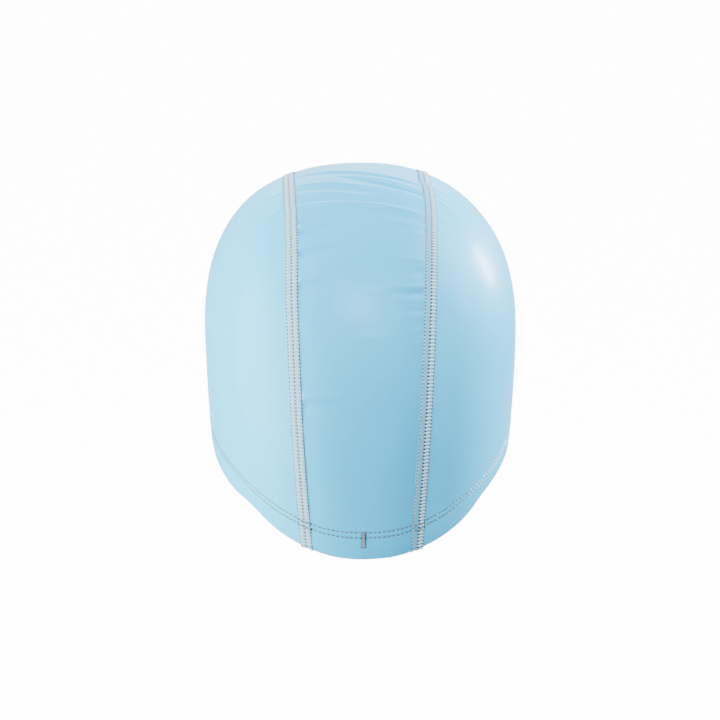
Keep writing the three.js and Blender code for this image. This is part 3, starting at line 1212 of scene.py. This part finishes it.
@dataclass
class LineGrid:
    """Lengthwise lines over the crown from the turned hem at the nape to that at the brow.

    Attributes:
        columns: Number of lines.
        x_at: Distance from the middle plane, by turn and line number.
        fine_rows: Rows over the nape's half and the crown.
        coarse_rows: Rows over the brow's half.
        fine_share: Share of the length that has fine rows.
    """

    columns: int
    x_at: Callable[[Array, Array], Array]
    fine_rows: int = 280
    coarse_rows: int = 60
    fine_share: float = 0.60

    def face(self, inner_face: bool) -> Face:
        """One face of the cloth, with a row for each place along and a column for each line."""
        height, depth = EDGE.rows_down(inner_face)
        high, lines = np.broadcast_arrays(height[:, None], np.arange(self.columns))
        nape, brow = (
            FORM.turn_at_height(lambda t: self.x_at(t, lines), high, at_brow) for at_brow in (False, True)
        )
        share = row_shares(self.fine_share, self.fine_rows, self.coarse_rows)[1:-1, None]
        turn = np.concatenate([nape[::-1], mix(nape[:1], brow[:1], share), brow])
        x = self.x_at(turn, np.broadcast_to(lines[0], turn.shape))
        over = np.ones(len(share))
        depths = np.concatenate([depth[::-1], over * EDGE.wall(inner_face), depth])
        heights = np.concatenate([height[::-1], over, height])
        point, normal = FORM.at_turn(x, turn), FORM.normal_at_turn(x, turn)
        return Face(point, normal, depths[:, None], turn, heights[:, None])


def travel(points: Array, axis: int) -> Array:
    """Distance travelled from the first place along one axis of a grid of points."""
    steps = np.linalg.norm(np.diff(points, axis=axis), axis=-1)
    first = np.zeros_like(np.take(steps, [0], axis=axis))
    return np.cumsum(np.concatenate([first, steps], axis=axis), axis=axis)


def hem_fade(height: Array) -> Array:
    """Zero at the fold of the hem and one a little above its stitches."""
    return smooth((height - 0.005) / 0.014)


def lay_cloth(faces: Sequence[Array], flat: Array, name: str, finish: str, wardrobe: Wardrobe,
              stands_for: Sequence[str]) -> bpy.types.Object:
    """Makes a panel from its two faces.

    Args:
        faces: Points of the outer and the inner face.
        flat: Flat coordinates for the weave.
        name: Name of the piece.
        finish: Name of the outer face's finish.
        wardrobe: The finishes.
        stands_for: The frame's nodes that it replaces.

    Returns:
        The panel.
    """
    obj = SheetGrid(*faces, flat).build(name, wardrobe[finish], wardrobe["knit_back"])
    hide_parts(*stands_for)
    return obj


@dataclass
class CentrePanel:
    """Strip of cloth between the seams, with its folds and puckers and both its turned hems.

    Attributes:
        wardrobe: The finishes.
        columns: Number of lengthwise lines.
        tuck_under: How far the strip reaches under each seam.
        crease_aside: Place of the shallow ridge at the nape, beside the middle plane.
        crease_breadth: Its breadth.
        crease_rise: Its height.
    """

    wardrobe: Wardrobe
    columns: int = 84
    tuck_under: float = 0.0022
    crease_aside: float = -0.0035
    crease_breadth: float = 0.006
    crease_rise: float = 0.35 * MM

    def folds(self, face: Face) -> Array:
        """Height of folds, puckers and the ridge at the nape."""
        along = FORM.strip_share(face.turn)
        across = np.broadcast_to(np.linspace(0, 1, self.columns), along.shape)
        x = face.point[..., 0]
        left = x - FORM.seam_x(SEAM_LEFT, face.turn) - SEAM_EDGE
        right = FORM.seam_x(SEAM_RIGHT, face.turn) - x - SEAM_EDGE
        total = np.zeros(along.shape)
        for fold in CROSS_FOLDS:
            total += fold.height(along, across, FORM.strip_length)
        for puckers, away in ((PUCKERS_CENTRE_LEFT, left), (PUCKERS_CENTRE_RIGHT, right)):
            for pucker in puckers:
                total += pucker.height(along, away, FORM.strip_length)
        total += ripple(along, left, 0.4) + ripple(along, right, 1.7)
        total *= hem_fade(face.height)
        crease = (x - self.crease_aside) / self.crease_breadth
        low = bump(face.height - 0.001, 0.012) * (face.turn < 0)
        return total + self.crease_rise * low * np.exp(-(crease**2))

    def x_at(self, turn: Array, line: Array) -> Array:
        """Distance from the middle plane of each lengthwise line."""
        left = FORM.seam_x(SEAM_LEFT, turn, self.tuck_under)
        right = FORM.seam_x(SEAM_RIGHT, turn, -self.tuck_under)
        return mix(left, right, line / (self.columns - 1))

    def build(self) -> bpy.types.Object:
        """Makes the panel."""
        both = [LineGrid(self.columns, self.x_at).face(inner_face) for inner_face in (False, True)]
        faces = [face.raised(face.settled(self.folds(face))) for face in both]
        flat = np.stack([travel(faces[0], 1), travel(faces[0], 0)], -1)
        nodes = ("centre_panel", "hem")
        return lay_cloth(faces, flat, "centre_panel_cloth", "centre_cloth", self.wardrobe, nodes)


@dataclass
class SidePanel:
    """Side of the cap, a half moon of cloth from its seam down to the turned hem.

    Attributes:
        seam: The seam that it hangs from.
        wardrobe: The finishes.
        fine_rows, coarse_rows, fine_share: Rows from hem to hem, as for LineGrid.
        moon_columns: Steps from the seam down to the hem's band.
        grading: Exponent that makes the first of these steps small.
        tuck_under: How far the panel reaches under the seam.
    """

    seam: SeamLine
    wardrobe: Wardrobe
    fine_rows: int = 250
    coarse_rows: int = 46
    fine_share: float = 0.60
    moon_columns: int = 58
    grading: float = 1.45
    tuck_under: float = 0.0022

    def edge_x(self, turn: Array) -> Array:
        """Distance of the panel's upper edge from the middle plane."""
        return FORM.seam_x(self.seam, turn, self.seam.side.value * self.tuck_under)

    def face(self, inner_face: bool) -> Face:
        """One face of the cloth, with a row for each place along the seam and a column for each step down."""
        share = row_shares(self.fine_share, self.fine_rows, self.coarse_rows)
        height, depth = EDGE.rows_down(inner_face)
        plans, ends = [], []
        for brow in (False, True):
            turn = FORM.turn_at_height(self.edge_x, height, brow)
            ends.append(turn[0])
            target = np.abs(FORM.at_turn(self.edge_x(turn), turn)[:, 1])
            plans.append(self.plan_at(target, height, brow))
        plan = mix(plans[0], plans[1], share[:, None])
        band = FORM.at_plan(self.seam.side, plan, np.broadcast_to(height, plan.shape))
        turn = mix(*ends, share)
        top = FORM.at_turn(self.edge_x(turn), turn)
        down = np.linspace(0, 1, self.moon_columns + 1)[:-1] ** self.grading
        y, z = (mix(top[:, None, k], band[:, :1, k], down) for k in (1, 2))
        moon = FORM.at_side(self.seam.side, y, z)
        point = np.concatenate([moon, band], axis=1)
        over = np.ones(self.moon_columns)
        depths = np.concatenate([over * EDGE.wall(inner_face), depth])
        heights = np.concatenate([over, height])
        return Face(point, FORM.normal_at(point), depths, FORM.turn_of(point), heights)

    def plan_at(self, target: Array, height: Array, brow: bool) -> Array:
        """Turns in plan where the form has a wanted distance from the crown's line.

        Args:
            target: Distances towards nape or brow.
            height: Heights above the hem's edge.
            brow: True for the brow.

        Returns:
            The turns.
        """
        low, high = np.zeros(target.shape), np.full(target.shape, (1 if brow else -1) * math.pi / 2)
        for _ in range(FORM.halvings):
            middle = (low + high) / 2
            held = np.abs(FORM.at_plan(self.seam.side, middle, height)[:, 1]) < target
            low, high = np.where(held, middle, low), np.where(held, high, middle)
        return (low + high) / 2

    def folds(self, face: Face) -> Array:
        """Height of the puckers."""
        along = FORM.strip_share(face.turn)
        away = np.abs(face.point[..., 0] - FORM.seam_x(self.seam, face.turn)) - SEAM_EDGE
        slope = np.sqrt(1 + (np.linalg.norm(face.normal[..., 1:], axis=-1) / 0.9) ** 2)
        total = np.zeros(along.shape)
        for pucker in PUCKERS_SIDE[self.seam.side]:
            total += pucker.height(along, away * slope, FORM.strip_length)
        total += ripple(along, away, 0.9 + self.seam.side.value)
        return total * hem_fade(face.height)

    def build(self) -> bpy.types.Object:
        """Makes the panel."""
        faces = []
        for inner_face in (False, True):
            face = self.face(inner_face)
            laid = face.raised(face.settled(self.folds(face)))
            faces.append(laid[:, ::-1] if self.seam.side is Side.LEFT else laid)
        node = f"side_panel_{self.seam.side.word}"
        return lay_cloth(faces, faces[0][..., 1:], f"{node}_cloth", "side_cloth", self.wardrobe, [node])


# Stitches


class Bench:
    """Edit-mode work on one small pattern at a time."""

    @staticmethod
    def clear() -> None:
        """Leaves nothing selected."""
        if bpy.context.object and bpy.context.object.mode != "OBJECT":
            bpy.ops.object.mode_set(mode="OBJECT")
        bpy.ops.object.select_all(action="DESELECT")

    @staticmethod
    def start(name: str, sides: int, radius: float, depth: float, rotation: tuple[float, ...]) -> None:
        """Starts a pattern from a cylinder and opens it for editing.

        Args:
            name: Name of the pattern.
            sides: Number of sides.
            radius: Radius.
            depth: Length.
            rotation: Turn that lays it the right way.
        """
        Bench.clear()
        bpy.ops.mesh.primitive_cylinder_add(vertices=sides, radius=radius, depth=depth, rotation=rotation)
        obj = bpy.context.object
        obj.name = obj.data.name = name
        bpy.ops.object.transform_apply(location=True, rotation=True, scale=True)
        bpy.ops.object.mode_set(mode="EDIT")

    @staticmethod
    def finish() -> bpy.types.Object:
        """Closes the edited pattern and returns it."""
        bpy.ops.object.mode_set(mode="OBJECT")
        return bpy.context.object

    @staticmethod
    def pick(rule: Callable[[Vector], bool]) -> None:
        """Selects the corners of the edited mesh that a rule holds for."""
        mesh = bmesh.from_edit_mesh(bpy.context.object.data)
        for part in (mesh.faces, mesh.edges, mesh.verts):
            for item in part:
                item.select = False
        for corner in mesh.verts:
            corner.select = rule(corner.co)
        mesh.select_flush_mode()
        bmesh.update_edit_mesh(bpy.context.object.data)

    @staticmethod
    def cut(place: float) -> None:
        """Cuts the edited mesh across its length, at a distance from its middle."""
        bpy.ops.mesh.select_all(action="SELECT")
        bpy.ops.mesh.bisect(plane_co=(0, place, 0), plane_no=(0, 1, 0))


@dataclass(frozen=True)
class ThreadPattern:
    """One visible length of thread between two needle holes, lying along the row.

    Attributes:
        name: Name of the pattern.
        length: Whole length.
        width: Width.
        thickness: Thickness out of the cloth.
        arch: How far the middle stands above the ends.
        sag: How far the middle lies aside of the line between its ends.
        sides: Number of sides round the thread.
        bend: Place of the outer bends, as a share of the straight core's length.
        slack: How much of the arch and the sag the outer bends have.
        taper: How far the rounded ends draw in, as a share of the width.
        point: How far they stand out, as a share of the width.
    """

    name: str
    length: float
    width: float
    thickness: float
    arch: float
    sag: float = 0.0
    sides: int = 8
    bend: float = 0.28
    slack: float = 0.72
    taper: float = 0.17
    point: float = 0.22

    def build(self) -> bpy.types.Object:
        """Models the pattern, for lay_stitches."""
        core = self.length - 0.5 * self.width
        outer = self.bend * core
        Bench.start(self.name, self.sides, self.width / 2, core, (math.pi / 2, 0, 0))
        for place in (-outer, 0.0, outer):
            Bench.cut(place)
        for end in (-1, 1):
            Bench.pick(lambda co: co.y * end > 0.49 * core)
            bpy.ops.mesh.inset(thickness=self.width * self.taper)
            bpy.ops.transform.translate(value=(0, end * self.width * self.point, 0))
        squash = self.thickness / self.width
        for place, share in ((0.0, 1.0), (-outer, self.slack), (outer, self.slack)):
            Bench.pick(lambda co: abs(co.y - place) < 0.05 * core)
            bpy.ops.transform.translate(value=(self.sag * share, 0, self.arch * share / squash))
        bpy.ops.mesh.select_all(action="SELECT")
        bpy.ops.transform.resize(value=(1, 1, squash), center_override=(0, 0, 0))
        bpy.ops.mesh.normals_make_consistent(inside=False)
        return Bench.finish()


@dataclass(frozen=True)
class HolePattern:
    """The small dimple where a needle went through, which is laid with the needle holes' painted shade.

    Attributes:
        name: Name of the pattern.
        radius: Radius of the dimple.
        depth: Height of its rim, of which a share is its dip.
        sides: Number of sides.
        share: Breadth of the rim and depth of the dip, as shares of the radius and the height.
    """

    name: str
    radius: float
    depth: float
    sides: int = 8
    share: float = 0.35

    def build(self) -> bpy.types.Object:
        """Models the pattern, for lay_stitches."""
        Bench.start(self.name, self.sides, self.radius, self.depth, (0, 0, 0))
        Bench.pick(lambda co: co.z > 0)
        bpy.ops.mesh.inset(thickness=self.radius * self.share)
        bpy.ops.transform.translate(value=(0, 0, -self.share * self.depth))
        return Bench.finish()


def waver(count: int, phase: float) -> Array:
    """Small settled irregularities from minus one to one, the same on each run."""
    k = np.arange(count)
    return 0.6 * np.sin(k * 2.399 + phase) + 0.4 * np.sin(k * 0.913 + 3 * phase)


def along_line(points: Array, travelled: Array, places: Array) -> Array:
    """Points of a line at some distances along it."""
    return np.stack([np.interp(places, travelled, points[:, k]) for k in range(3)], -1)


@dataclass(frozen=True)
class CoverThread:
    """Crosswise thread on one half of a seam band.

    Attributes:
        width: Width of each bar of thread.
        thickness: Its thickness.
        turn: Its tilt, in radians.
        rise: Height of its middle above the bed.
        finish: Name of its finish.
        leads: How far ahead of the stitch each bar lies, in pitches.
    """

    width: float
    thickness: float
    turn: float
    rise: float
    finish: str = "seam_thread"
    leads: tuple[float, ...] = (0.0,)


EVEN_COVER = CoverThread(width=0.00070, thickness=0.00044, turn=0.06, rise=0.00004, leads=(0.0, 0.5))
# On the right seam, the left half's threads carry painted shade and the right half's carry painted light.
FINE_SHADED_COVER = CoverThread(width=0.00056, thickness=0.00036, turn=0.52, rise=0.00002, finish="fine_yarn_painted_shade")
BOLD_LIT_COVER = CoverThread(width=0.00080, thickness=0.00060, turn=0.16, rise=0.00014, finish="bold_yarn_painted_lit")


@dataclass(frozen=True)
class NeedleRow:
    """One line of needle thread along a seam, with a hole between its stitches.

    Attributes:
        line: Number of the needle line, counted from the middle one.
        thread_level: Height of its thread above the bed's edges, as a share of the bed's swell.
        hole_level: Height of its holes, as a share of the same.
        hole: Radius of a hole.
    """

    line: int
    thread_level: float
    hole_level: float
    hole: float


NEEDLE_ROWS = (
    NeedleRow(-1, 0.55, 0.60, 0.00048),
    NeedleRow(0, 0.75, 0.74, 0.00056),
    NeedleRow(1, 0.55, 0.60, 0.00048),
)


@dataclass
class SeamBand:
    """Flatlock seam: a bed in two soft ridges, cover threads across both and needle threads in three lines.

    Attributes:
        seam: Its course.
        wardrobe: The finishes.
        covers: Threads across the left and the right half.
        half_width: Half its width.
        swell: Height of the ridges.
        groove: Depth of the groove between them, as a share of that.
        groove_breadth: Its breadth, as a share of the half width.
        columns: Number of lengthwise lines.
        sunk: How far the inner face lies below the panels' inner faces.
        between: Size of the bars between two stitches, as a share.
    """

    seam: SeamLine
    wardrobe: Wardrobe
    covers: tuple[CoverThread, CoverThread]
    half_width: float = 0.0034
    swell: float = 0.00042
    groove: float = 0.55
    groove_breadth: float = 0.16
    columns: int = 17
    sunk: float = 0.0001
    between: float = 0.6

    def x_at(self, turn: Array, line: Array) -> Array:
        """Distance from the middle plane of each lengthwise line of the bed."""
        share = line / (self.columns - 1)
        return FORM.seam_x(self.seam, turn) + mix(-self.half_width, self.half_width, share)

    def rise(self, face: Face, inner_face: bool) -> Array:
        """Height of a face of the bed above the plain form."""
        share = np.linspace(-1, 1, self.columns)
        groove = self.groove * self.swell * np.exp(-((share / self.groove_breadth) ** 2))
        swell = self.swell * (1 - np.abs(share) ** 5) - groove
        along = FORM.strip_share(face.turn) * FORM.strip_length / MM
        lumps = 0.06 * MM * (np.sin(along * 0.51) + np.sin(along * 0.237 + 1.1))
        plain = np.where(face.depth < TINY, swell, 0.0) + lumps
        base = plain + seam_dip(face.point, face.turn) + drift(face.point)
        if inner_face:
            return base - self.sunk
        around_fold = np.where(face.depth > EDGE.fold, -self.swell, self.swell)
        return base + np.where(face.depth > TINY, around_fold * 0.8, 0.0)

    def build(self) -> list[bpy.types.Object]:
        """Makes the bed and the threads on it, and returns both pieces."""
        lines = LineGrid(self.columns, self.x_at, fine_rows=270, coarse_rows=100)
        faces = []
        for inner_face in (False, True):
            face = lines.face(inner_face)
            faces.append(face.raised(self.rise(face, inner_face)))
        travelled = travel(faces[0][:, self.columns // 2], 0)
        aside = np.linspace(-self.half_width, self.half_width, self.columns)
        flat = np.stack(np.broadcast_arrays(aside[None, :], travelled[:, None]), -1)
        name = f"seam_{self.seam.side.word}"
        finishes = (self.wardrobe["seam_bed"], self.wardrobe["knit_back"])
        bed = SheetGrid(*faces, flat).build(f"{name}_bed", *finishes)
        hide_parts(name)
        return [bed, self.threads(f"{name}_threads", faces[0], travelled)]

    def threads(self, name: str, bed: Array, travelled: Array) -> bpy.types.Object:
        """Lays the threads along the bed.

        Args:
            name: Name of the piece.
            bed: Points of the bed's outer face.
            travelled: Distance along its middle line at each row.

        Returns:
            All threads of the seam, as one piece.
        """
        count = int(travelled[-1] / STITCH_PITCH) - 1
        place = (np.arange(count) + 0.5) * STITCH_PITCH
        line, left, right = bed[:, self.columns // 2], bed[:, 0], bed[:, -1]

        def at(points: Array, s: Array) -> Array:
            """Points of one of the bed's lines, at distances travelled along its middle line."""
            return along_line(points, travelled, s)

        def frames(shift: float, lead: float, level: float, rise: float = 0.0) -> Frames:
            """Places beside the middle line, ahead of each stitch and above the bed's edges."""
            s = place + lead * STITCH_PITCH
            origin = (at(left, s) + at(right, s)) / 2
            along = unit(at(line, s + 0.0006) - at(line, s - 0.0006))
            out = unit(np.cross(at(right, s) - at(left, s), along))
            across = unit(np.cross(along, out))
            height = self.swell * level + rise
            return Frames(origin + across * shift + out * height, across, along, out)

        rows = []
        for half, cover in zip((-1, 1), self.covers):
            reach = NEEDLE_LINE * 0.90 / math.cos(cover.turn)
            turn = math.pi / 2 + cover.turn + 0.07 * waver(count, 1.0 + half)
            size = 1 + 0.05 * waver(count, 7.0 + half)
            finish = self.wardrobe[cover.finish]
            for lead in cover.leads:
                share = 1.0 if lead == 0 else self.between
                width, thickness = cover.width * share, cover.thickness * share
                bar = ThreadPattern("cover_thread", reach, width, thickness, arch=0.00014, sag=0.00012)
                places = frames(half * NEEDLE_LINE / 2, lead, 0.55, cover.rise)
                rows.append(StitchRow(bar, finish, places, turn, size))
        dash = ThreadPattern(
            "needle_thread", length=STITCH_PITCH * 0.56, width=0.00046, thickness=0.0004, arch=0.00008
        )
        for row in NEEDLE_ROWS:
            shift = row.line * NEEDLE_LINE
            turn = 0.12 * waver(count, row.line + 5.0)
            places = frames(shift, 0.0, row.thread_level)
            rows.append(StitchRow(dash, self.wardrobe["seam_thread"], places, turn))
            hole = HolePattern("seam_hole", radius=row.hole, depth=0.0003)
            places = frames(shift, 0.5, row.hole_level)
            rows.append(StitchRow(hole, self.wardrobe["needle_hole_shade"], places, stretch=1.1))
        return lay_stitches(name, rows)


@dataclass
class HemStitches:
    """Two rows of stitches that hold the turned hem, all the way round.

    Attributes:
        wardrobe: The finishes.
        pitch: Distance from stitch to stitch.
        tones: Copies of the one thread's finish, deep with painted shade over most of the hem and paler with
            painted light towards the right: where each starts, its name and its width.
        ring_steps: Steps of the line that a row follows.
        settling_rounds: Rounds after which the line has its height.
        seam_step: Extra height over a seam's threads.
    """

    wardrobe: Wardrobe
    pitch: float = 0.0024
    tones: tuple[tuple[float, str, float], ...] = (
        (-1.0, "hem_yarn_painted_shade", 0.00050),
        (0.040, "hem_yarn_painted_half_lit", 0.00050),
        (0.054, "hem_yarn_painted_lit", 0.00055),
    )
    ring_steps: int = 2400
    settling_rounds: int = 3
    seam_step: float = 0.00085

    def build(self) -> bpy.types.Object:
        """Makes both rows, as one piece."""
        hole = HolePattern("hem_hole", radius=0.00034, depth=0.0002)
        rows = []
        for number in range(2):
            places, holes = self.row_places(number)
            count = len(places.origin)
            turn = 0.06 * waver(count, 2.0 + number)
            size = 1 + 0.08 * waver(count, 4.0 + number)
            aside = places.origin[:, 0] + 0.005 * waver(count, 9.0)
            # Each stitch takes the painted-shade or painted-light copy of the thread by how far right it
            # lies.
            tone = np.digitize(aside, [start for start, _, _ in self.tones]) - 1
            for order, (_, finish, width) in enumerate(self.tones):
                chosen = tone == order
                dash = ThreadPattern("hem_dash", self.pitch * 0.66, width, width * 0.85, arch=0.00012)
                laid = (places.chosen(chosen), turn[chosen], size[chosen])
                rows.append(StitchRow(dash, self.wardrobe[finish], *laid))
            rows.append(StitchRow(hole, self.wardrobe["needle_hole_shade"], holes, stretch=1.25))
        return lay_stitches("hem_stitches", rows)

    def row_places(self, number: int) -> tuple[Frames, Frames]:
        """Places of the stitches and of the holes between them.

        Args:
            number: 0 for the lower row and 1 for the upper one.

        Returns:
            Places of the stitches, and places of the holes.
        """
        t = np.linspace(0, math.tau, self.ring_steps + 1)
        plan = np.arcsin(np.sin(t))
        ring = np.empty((len(t), 3))
        for side in Side:
            here = np.cos(t) * side.value >= 0
            level = np.full(here.sum(), EDGE.upper_row)
            for _ in range(self.settling_rounds):
                ring[here] = FORM.at_plan(side, plan[here], level)
                level = EDGE.rows(ring[here])[number]
        travelled = travel(ring, 0)
        whole = travelled[-1]
        count = int(whole / self.pitch)

        def at(s: Array) -> Array:
            """Points of the ring at distances travelled along it."""
            return along_line(ring, travelled, s % whole)

        found = []
        for shift, height in ((0.5, 0.00012), (0.0, 0.00002)):
            place = (np.arange(count) + shift) * (whole / count)
            origin = at(place)
            along = unit(at(place + 0.0005) - at(place - 0.0005))
            out = FORM.normal_at(origin)
            turn = FORM.turn_of(origin)
            sewn = EDGE.relief(EDGE.rows(origin)[number], origin) + drift(origin) + seam_dip(origin, turn)
            rise = sewn + height + self.over_seams(origin, turn)
            found.append(Frames(origin + out * rise[:, None], unit(np.cross(along, out)), along, out))
        return found[0], found[1]

    def over_seams(self, p: Array, turn: Array) -> Array:
        """Extra height where the row runs over a seam's threads."""
        away = [np.abs(p[:, 0] - FORM.seam_x(seam, turn)) for seam in SEAMS]
        return self.seam_step * sum(np.clip((0.0039 - near) / 0.0009, 0, 1) for near in away)


@dataclass
class BarTack:
    """Close zigzag of thread across the hem stitching at the nape, with a bar at each end.

    Attributes:
        wardrobe: The finishes.
        aside: Place beside the middle plane.
        foot: Height of its foot above the hem's edge.
        height: Its own height.
        threads: Number of threads in the zigzag.
        zigzag: Tilt of each thread, in radians.
        hole_aside: Distance of the needle holes from its middle.
    """

    wardrobe: Wardrobe
    aside: float = -0.0010
    foot: float = 0.0073
    height: float = 0.0083
    threads: int = 14
    zigzag: float = 0.38
    hole_aside: float = 0.00095

    def line(self, turn: Array) -> Array:
        """Distance of the tack from the middle plane, the same at each turn."""
        return np.full(np.shape(turn), self.aside)

    def build(self) -> bpy.types.Object:
        """Makes the tack, as one piece."""
        level = self.foot + np.linspace(0, self.height, self.threads)
        turn = FORM.turn_at_height(self.line, level, False)
        origin = FORM.at_turn(self.aside, turn)
        out = FORM.normal_at_turn(self.aside, turn)
        along = unit(FORM.at_turn(self.aside, turn + 0.002) - origin)
        across = unit(np.cross(along, out))
        rise = EDGE.relief(level, origin) * 0.4 + drift(origin) + 0.00022
        places = Frames(origin + out * rise[:, None], across, along, out)
        tilt = np.where(np.arange(self.threads) % 2 == 0, self.zigzag, -self.zigzag)
        stem = ThreadPattern("tack_thread", length=0.0018, width=0.00054, thickness=0.0005, arch=0.0001)
        rows = [StitchRow(stem, self.wardrobe["tack_thread"], places, math.pi / 2 + tilt)]
        hole = HolePattern("tack_hole", radius=0.00036, depth=0.0003)
        for edge in (-1, 1):
            beside = places.chosen(np.arange(1, self.threads, 2))
            beside.origin = beside.origin + beside.across * edge * self.hole_aside + beside.out * 0.0001
            rows.append(StitchRow(hole, self.wardrobe["needle_hole_shade"], beside))
        ends = places.chosen(np.array([0, 0, -1, -1]))
        ends.origin = ends.origin + ends.along * np.array([-0.0001, 0.0003, -0.0003, 0.0001])[:, None]
        bar = ThreadPattern("tack_end", length=0.0032, width=0.0005, thickness=0.0005, arch=0.00012)
        turns = math.pi / 2 + np.array([0.04, -0.05, 0.05, -0.04])
        rows.append(StitchRow(bar, self.wardrobe["end_thread"], ends, turns))
        tack = lay_stitches("bar_tack_threads", rows)
        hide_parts("bar_tack")
        return tack


# Studio


def direction(azimuth: float, elevation: float) -> Vector:
    """Direction from the cap towards a place round it, by its turn and height in degrees."""
    a, e = math.radians(azimuth), math.radians(elevation)
    return Vector((math.sin(a) * math.cos(e), -math.cos(a) * math.cos(e), math.sin(e)))


def aim_at(name: str, data: bpy.types.ID, target: Vector, back: Vector, distance: float) -> bpy.types.Object:
    """Puts a camera or a light into the scene, facing a place.

    Args:
        name: Name of the object.
        data: The camera or the light.
        target: The place that it faces.
        back: Direction from there towards it.
        distance: Distance from there.

    Returns:
        The new object.
    """
    obj = bpy.data.objects.new(name, data)
    obj.location = target + back * distance
    obj.rotation_mode = "QUATERNION"
    obj.rotation_quaternion = (-back).to_track_quat("-Z", "Y")
    bpy.context.scene.collection.objects.link(obj)
    return obj


@dataclass(frozen=True)
class SoftBox:
    """A soft light that faces the cap.

    Attributes:
        name: Name of the light.
        azimuth: Turn round the cap, in degrees; 0 is where the camera is.
        elevation: Height above the horizon, in degrees.
        distance: Distance from the cap.
        size: Width and height of the box.
        power: Power in watts.
        colour: Colour of the light.
        target: The place that it faces.
    """

    name: str
    azimuth: float
    elevation: float
    distance: float
    size: tuple[float, float]
    power: float
    colour: Colour
    target: tuple[float, float, float] = (0.0, -0.01, 0.09)

    def build(self) -> None:
        """Adds the light."""
        data = bpy.data.lights.new(self.name, "AREA")
        data.shape = "RECTANGLE"
        data.size, data.size_y = self.size
        data.energy = self.power
        data.color = self.colour
        aim_at(self.name, data, Vector(self.target), direction(self.azimuth, self.elevation), self.distance)


LIGHTS = (
    SoftBox("left_box", -75, 7, 1.3, (1.4, 1.5), 99.0, (1.0, 1.0, 0.9)),
    SoftBox("high_left_box", -70, 62, 1.4, (0.5, 0.5), 6.0, (1.0, 1.0, 0.92)),
    SoftBox("back_box", 178, 19, 1.5, (1.2, 0.3), 15.0, (0.88, 0.93, 1.0)),
    SoftBox("far_right_box", 125, 12, 1.4, (0.26, 0.36), 50.0, (0.93, 0.97, 1.0)),
    SoftBox("high_right_box", 101, 41, 1.4, (1.05, 1.0), 52.0, (0.88, 0.99, 1.0)),
    SoftBox("high_box", 0, 49.5, 1.5, (0.20, 0.46), 21.0, (0.70, 0.94, 1.0)),
)


@dataclass
class Studio:
    """Pale floor, soft light and the camera at the photograph's angle.

    Attributes:
        azimuth: Turn of the camera, in degrees; 0 looks along +Y.
        elevation: Its height above the horizon, in degrees.
        distance: Distance from the place it looks at.
        aim: The place it looks at.
        frame_width: Width of the view at that place.
        sensor: Width of its sensor, in millimetres.
        reach: Greatest distance that it sees.
        floor_level: Height of the floor.
        floor_size: Length of its sides.
        sky: Colour of the light from all round.
        sky_levels: Strength of that light on the cap, in its gloss and as it is seen.
    """

    azimuth: float = -1.5
    elevation: float = 22.0
    distance: float = 1.6
    aim: tuple[float, float, float] = (-0.0003, -0.0143, 0.0698)
    frame_width: float = 0.3888
    sensor: float = 36.0
    reach: float = 60.0
    floor_level: float = -0.75
    floor_size: float = 24.0
    sky: Colour = (0.95, 0.94, 1.0)
    sky_levels: tuple[float, float, float] = (0.40, 2.3, 13.0)

    def add_camera(self) -> None:
        """Adds the camera."""
        data = bpy.data.cameras.new("camera")
        data.sensor_width = self.sensor
        data.lens = self.sensor * self.distance / self.frame_width
        data.clip_end = self.reach
        back = direction(self.azimuth, self.elevation)
        bpy.context.scene.camera = aim_at("camera", data, Vector(self.aim), back, self.distance)

    def add_floor(self, finish: bpy.types.Material) -> None:
        """Adds the floor, well below the cap."""
        Bench.clear()
        bpy.ops.mesh.primitive_plane_add(size=self.floor_size, location=(0, 0, self.floor_level))
        floor = bpy.context.object
        floor.name = floor.data.name = "floor"
        bpy.ops.object.transform_apply(location=True, rotation=True, scale=True)
        floor.data.materials.append(finish)

    def add_surroundings(self) -> None:
        """Sets the pale light from all round."""
        world = bpy.data.worlds.new("studio")
        world.use_nodes = True
        tree = Tree(world.node_tree)
        path = tree.add("ShaderNodeLightPath")
        plain, mirrored, seen = self.sky_levels
        level = tree.scale_range(path.outputs["Is Glossy Ray"], plain, mirrored)
        shown = tree.math("MULTIPLY", path.outputs["Is Camera Ray"], seen)
        strength = tree.math("MAXIMUM", level, shown)
        tree.set(world.node_tree.nodes["Background"], Color=(*self.sky, 1.0), Strength=strength)
        bpy.context.scene.world = world

    def build(self, wardrobe: Wardrobe) -> None:
        """Sets up the whole studio."""
        self.add_camera()
        self.add_surroundings()
        self.add_floor(wardrobe["pale_floor"])
        for light in LIGHTS:
            light.build()


def main() -> None:
    """Builds the studio and the cap, piece by piece."""
    logging.basicConfig(level=logging.INFO, format="%(name)s: %(message)s")
    groups = Groups()
    wardrobe = {finish.name: finish.build(groups) for finish in FINISHES}
    Studio().build(wardrobe)
    centre = CentrePanel(wardrobe).build()
    sides = [SidePanel(seam, wardrobe).build() for seam in SEAMS]
    extras = []
    for seam, covers in zip(SEAMS, ((EVEN_COVER, EVEN_COVER), (FINE_SHADED_COVER, BOLD_LIT_COVER))):
        extras += SeamBand(seam, wardrobe, covers).build()
    extras += [HemStitches(wardrobe).build(), BarTack(wardrobe).build()]
    for piece in (centre, *sides, *extras):
        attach(piece, BODY)
        LOG.info("%s: %d faces", piece.name, len(piece.data.polygons))


if __name__ == "__main__":
    main()
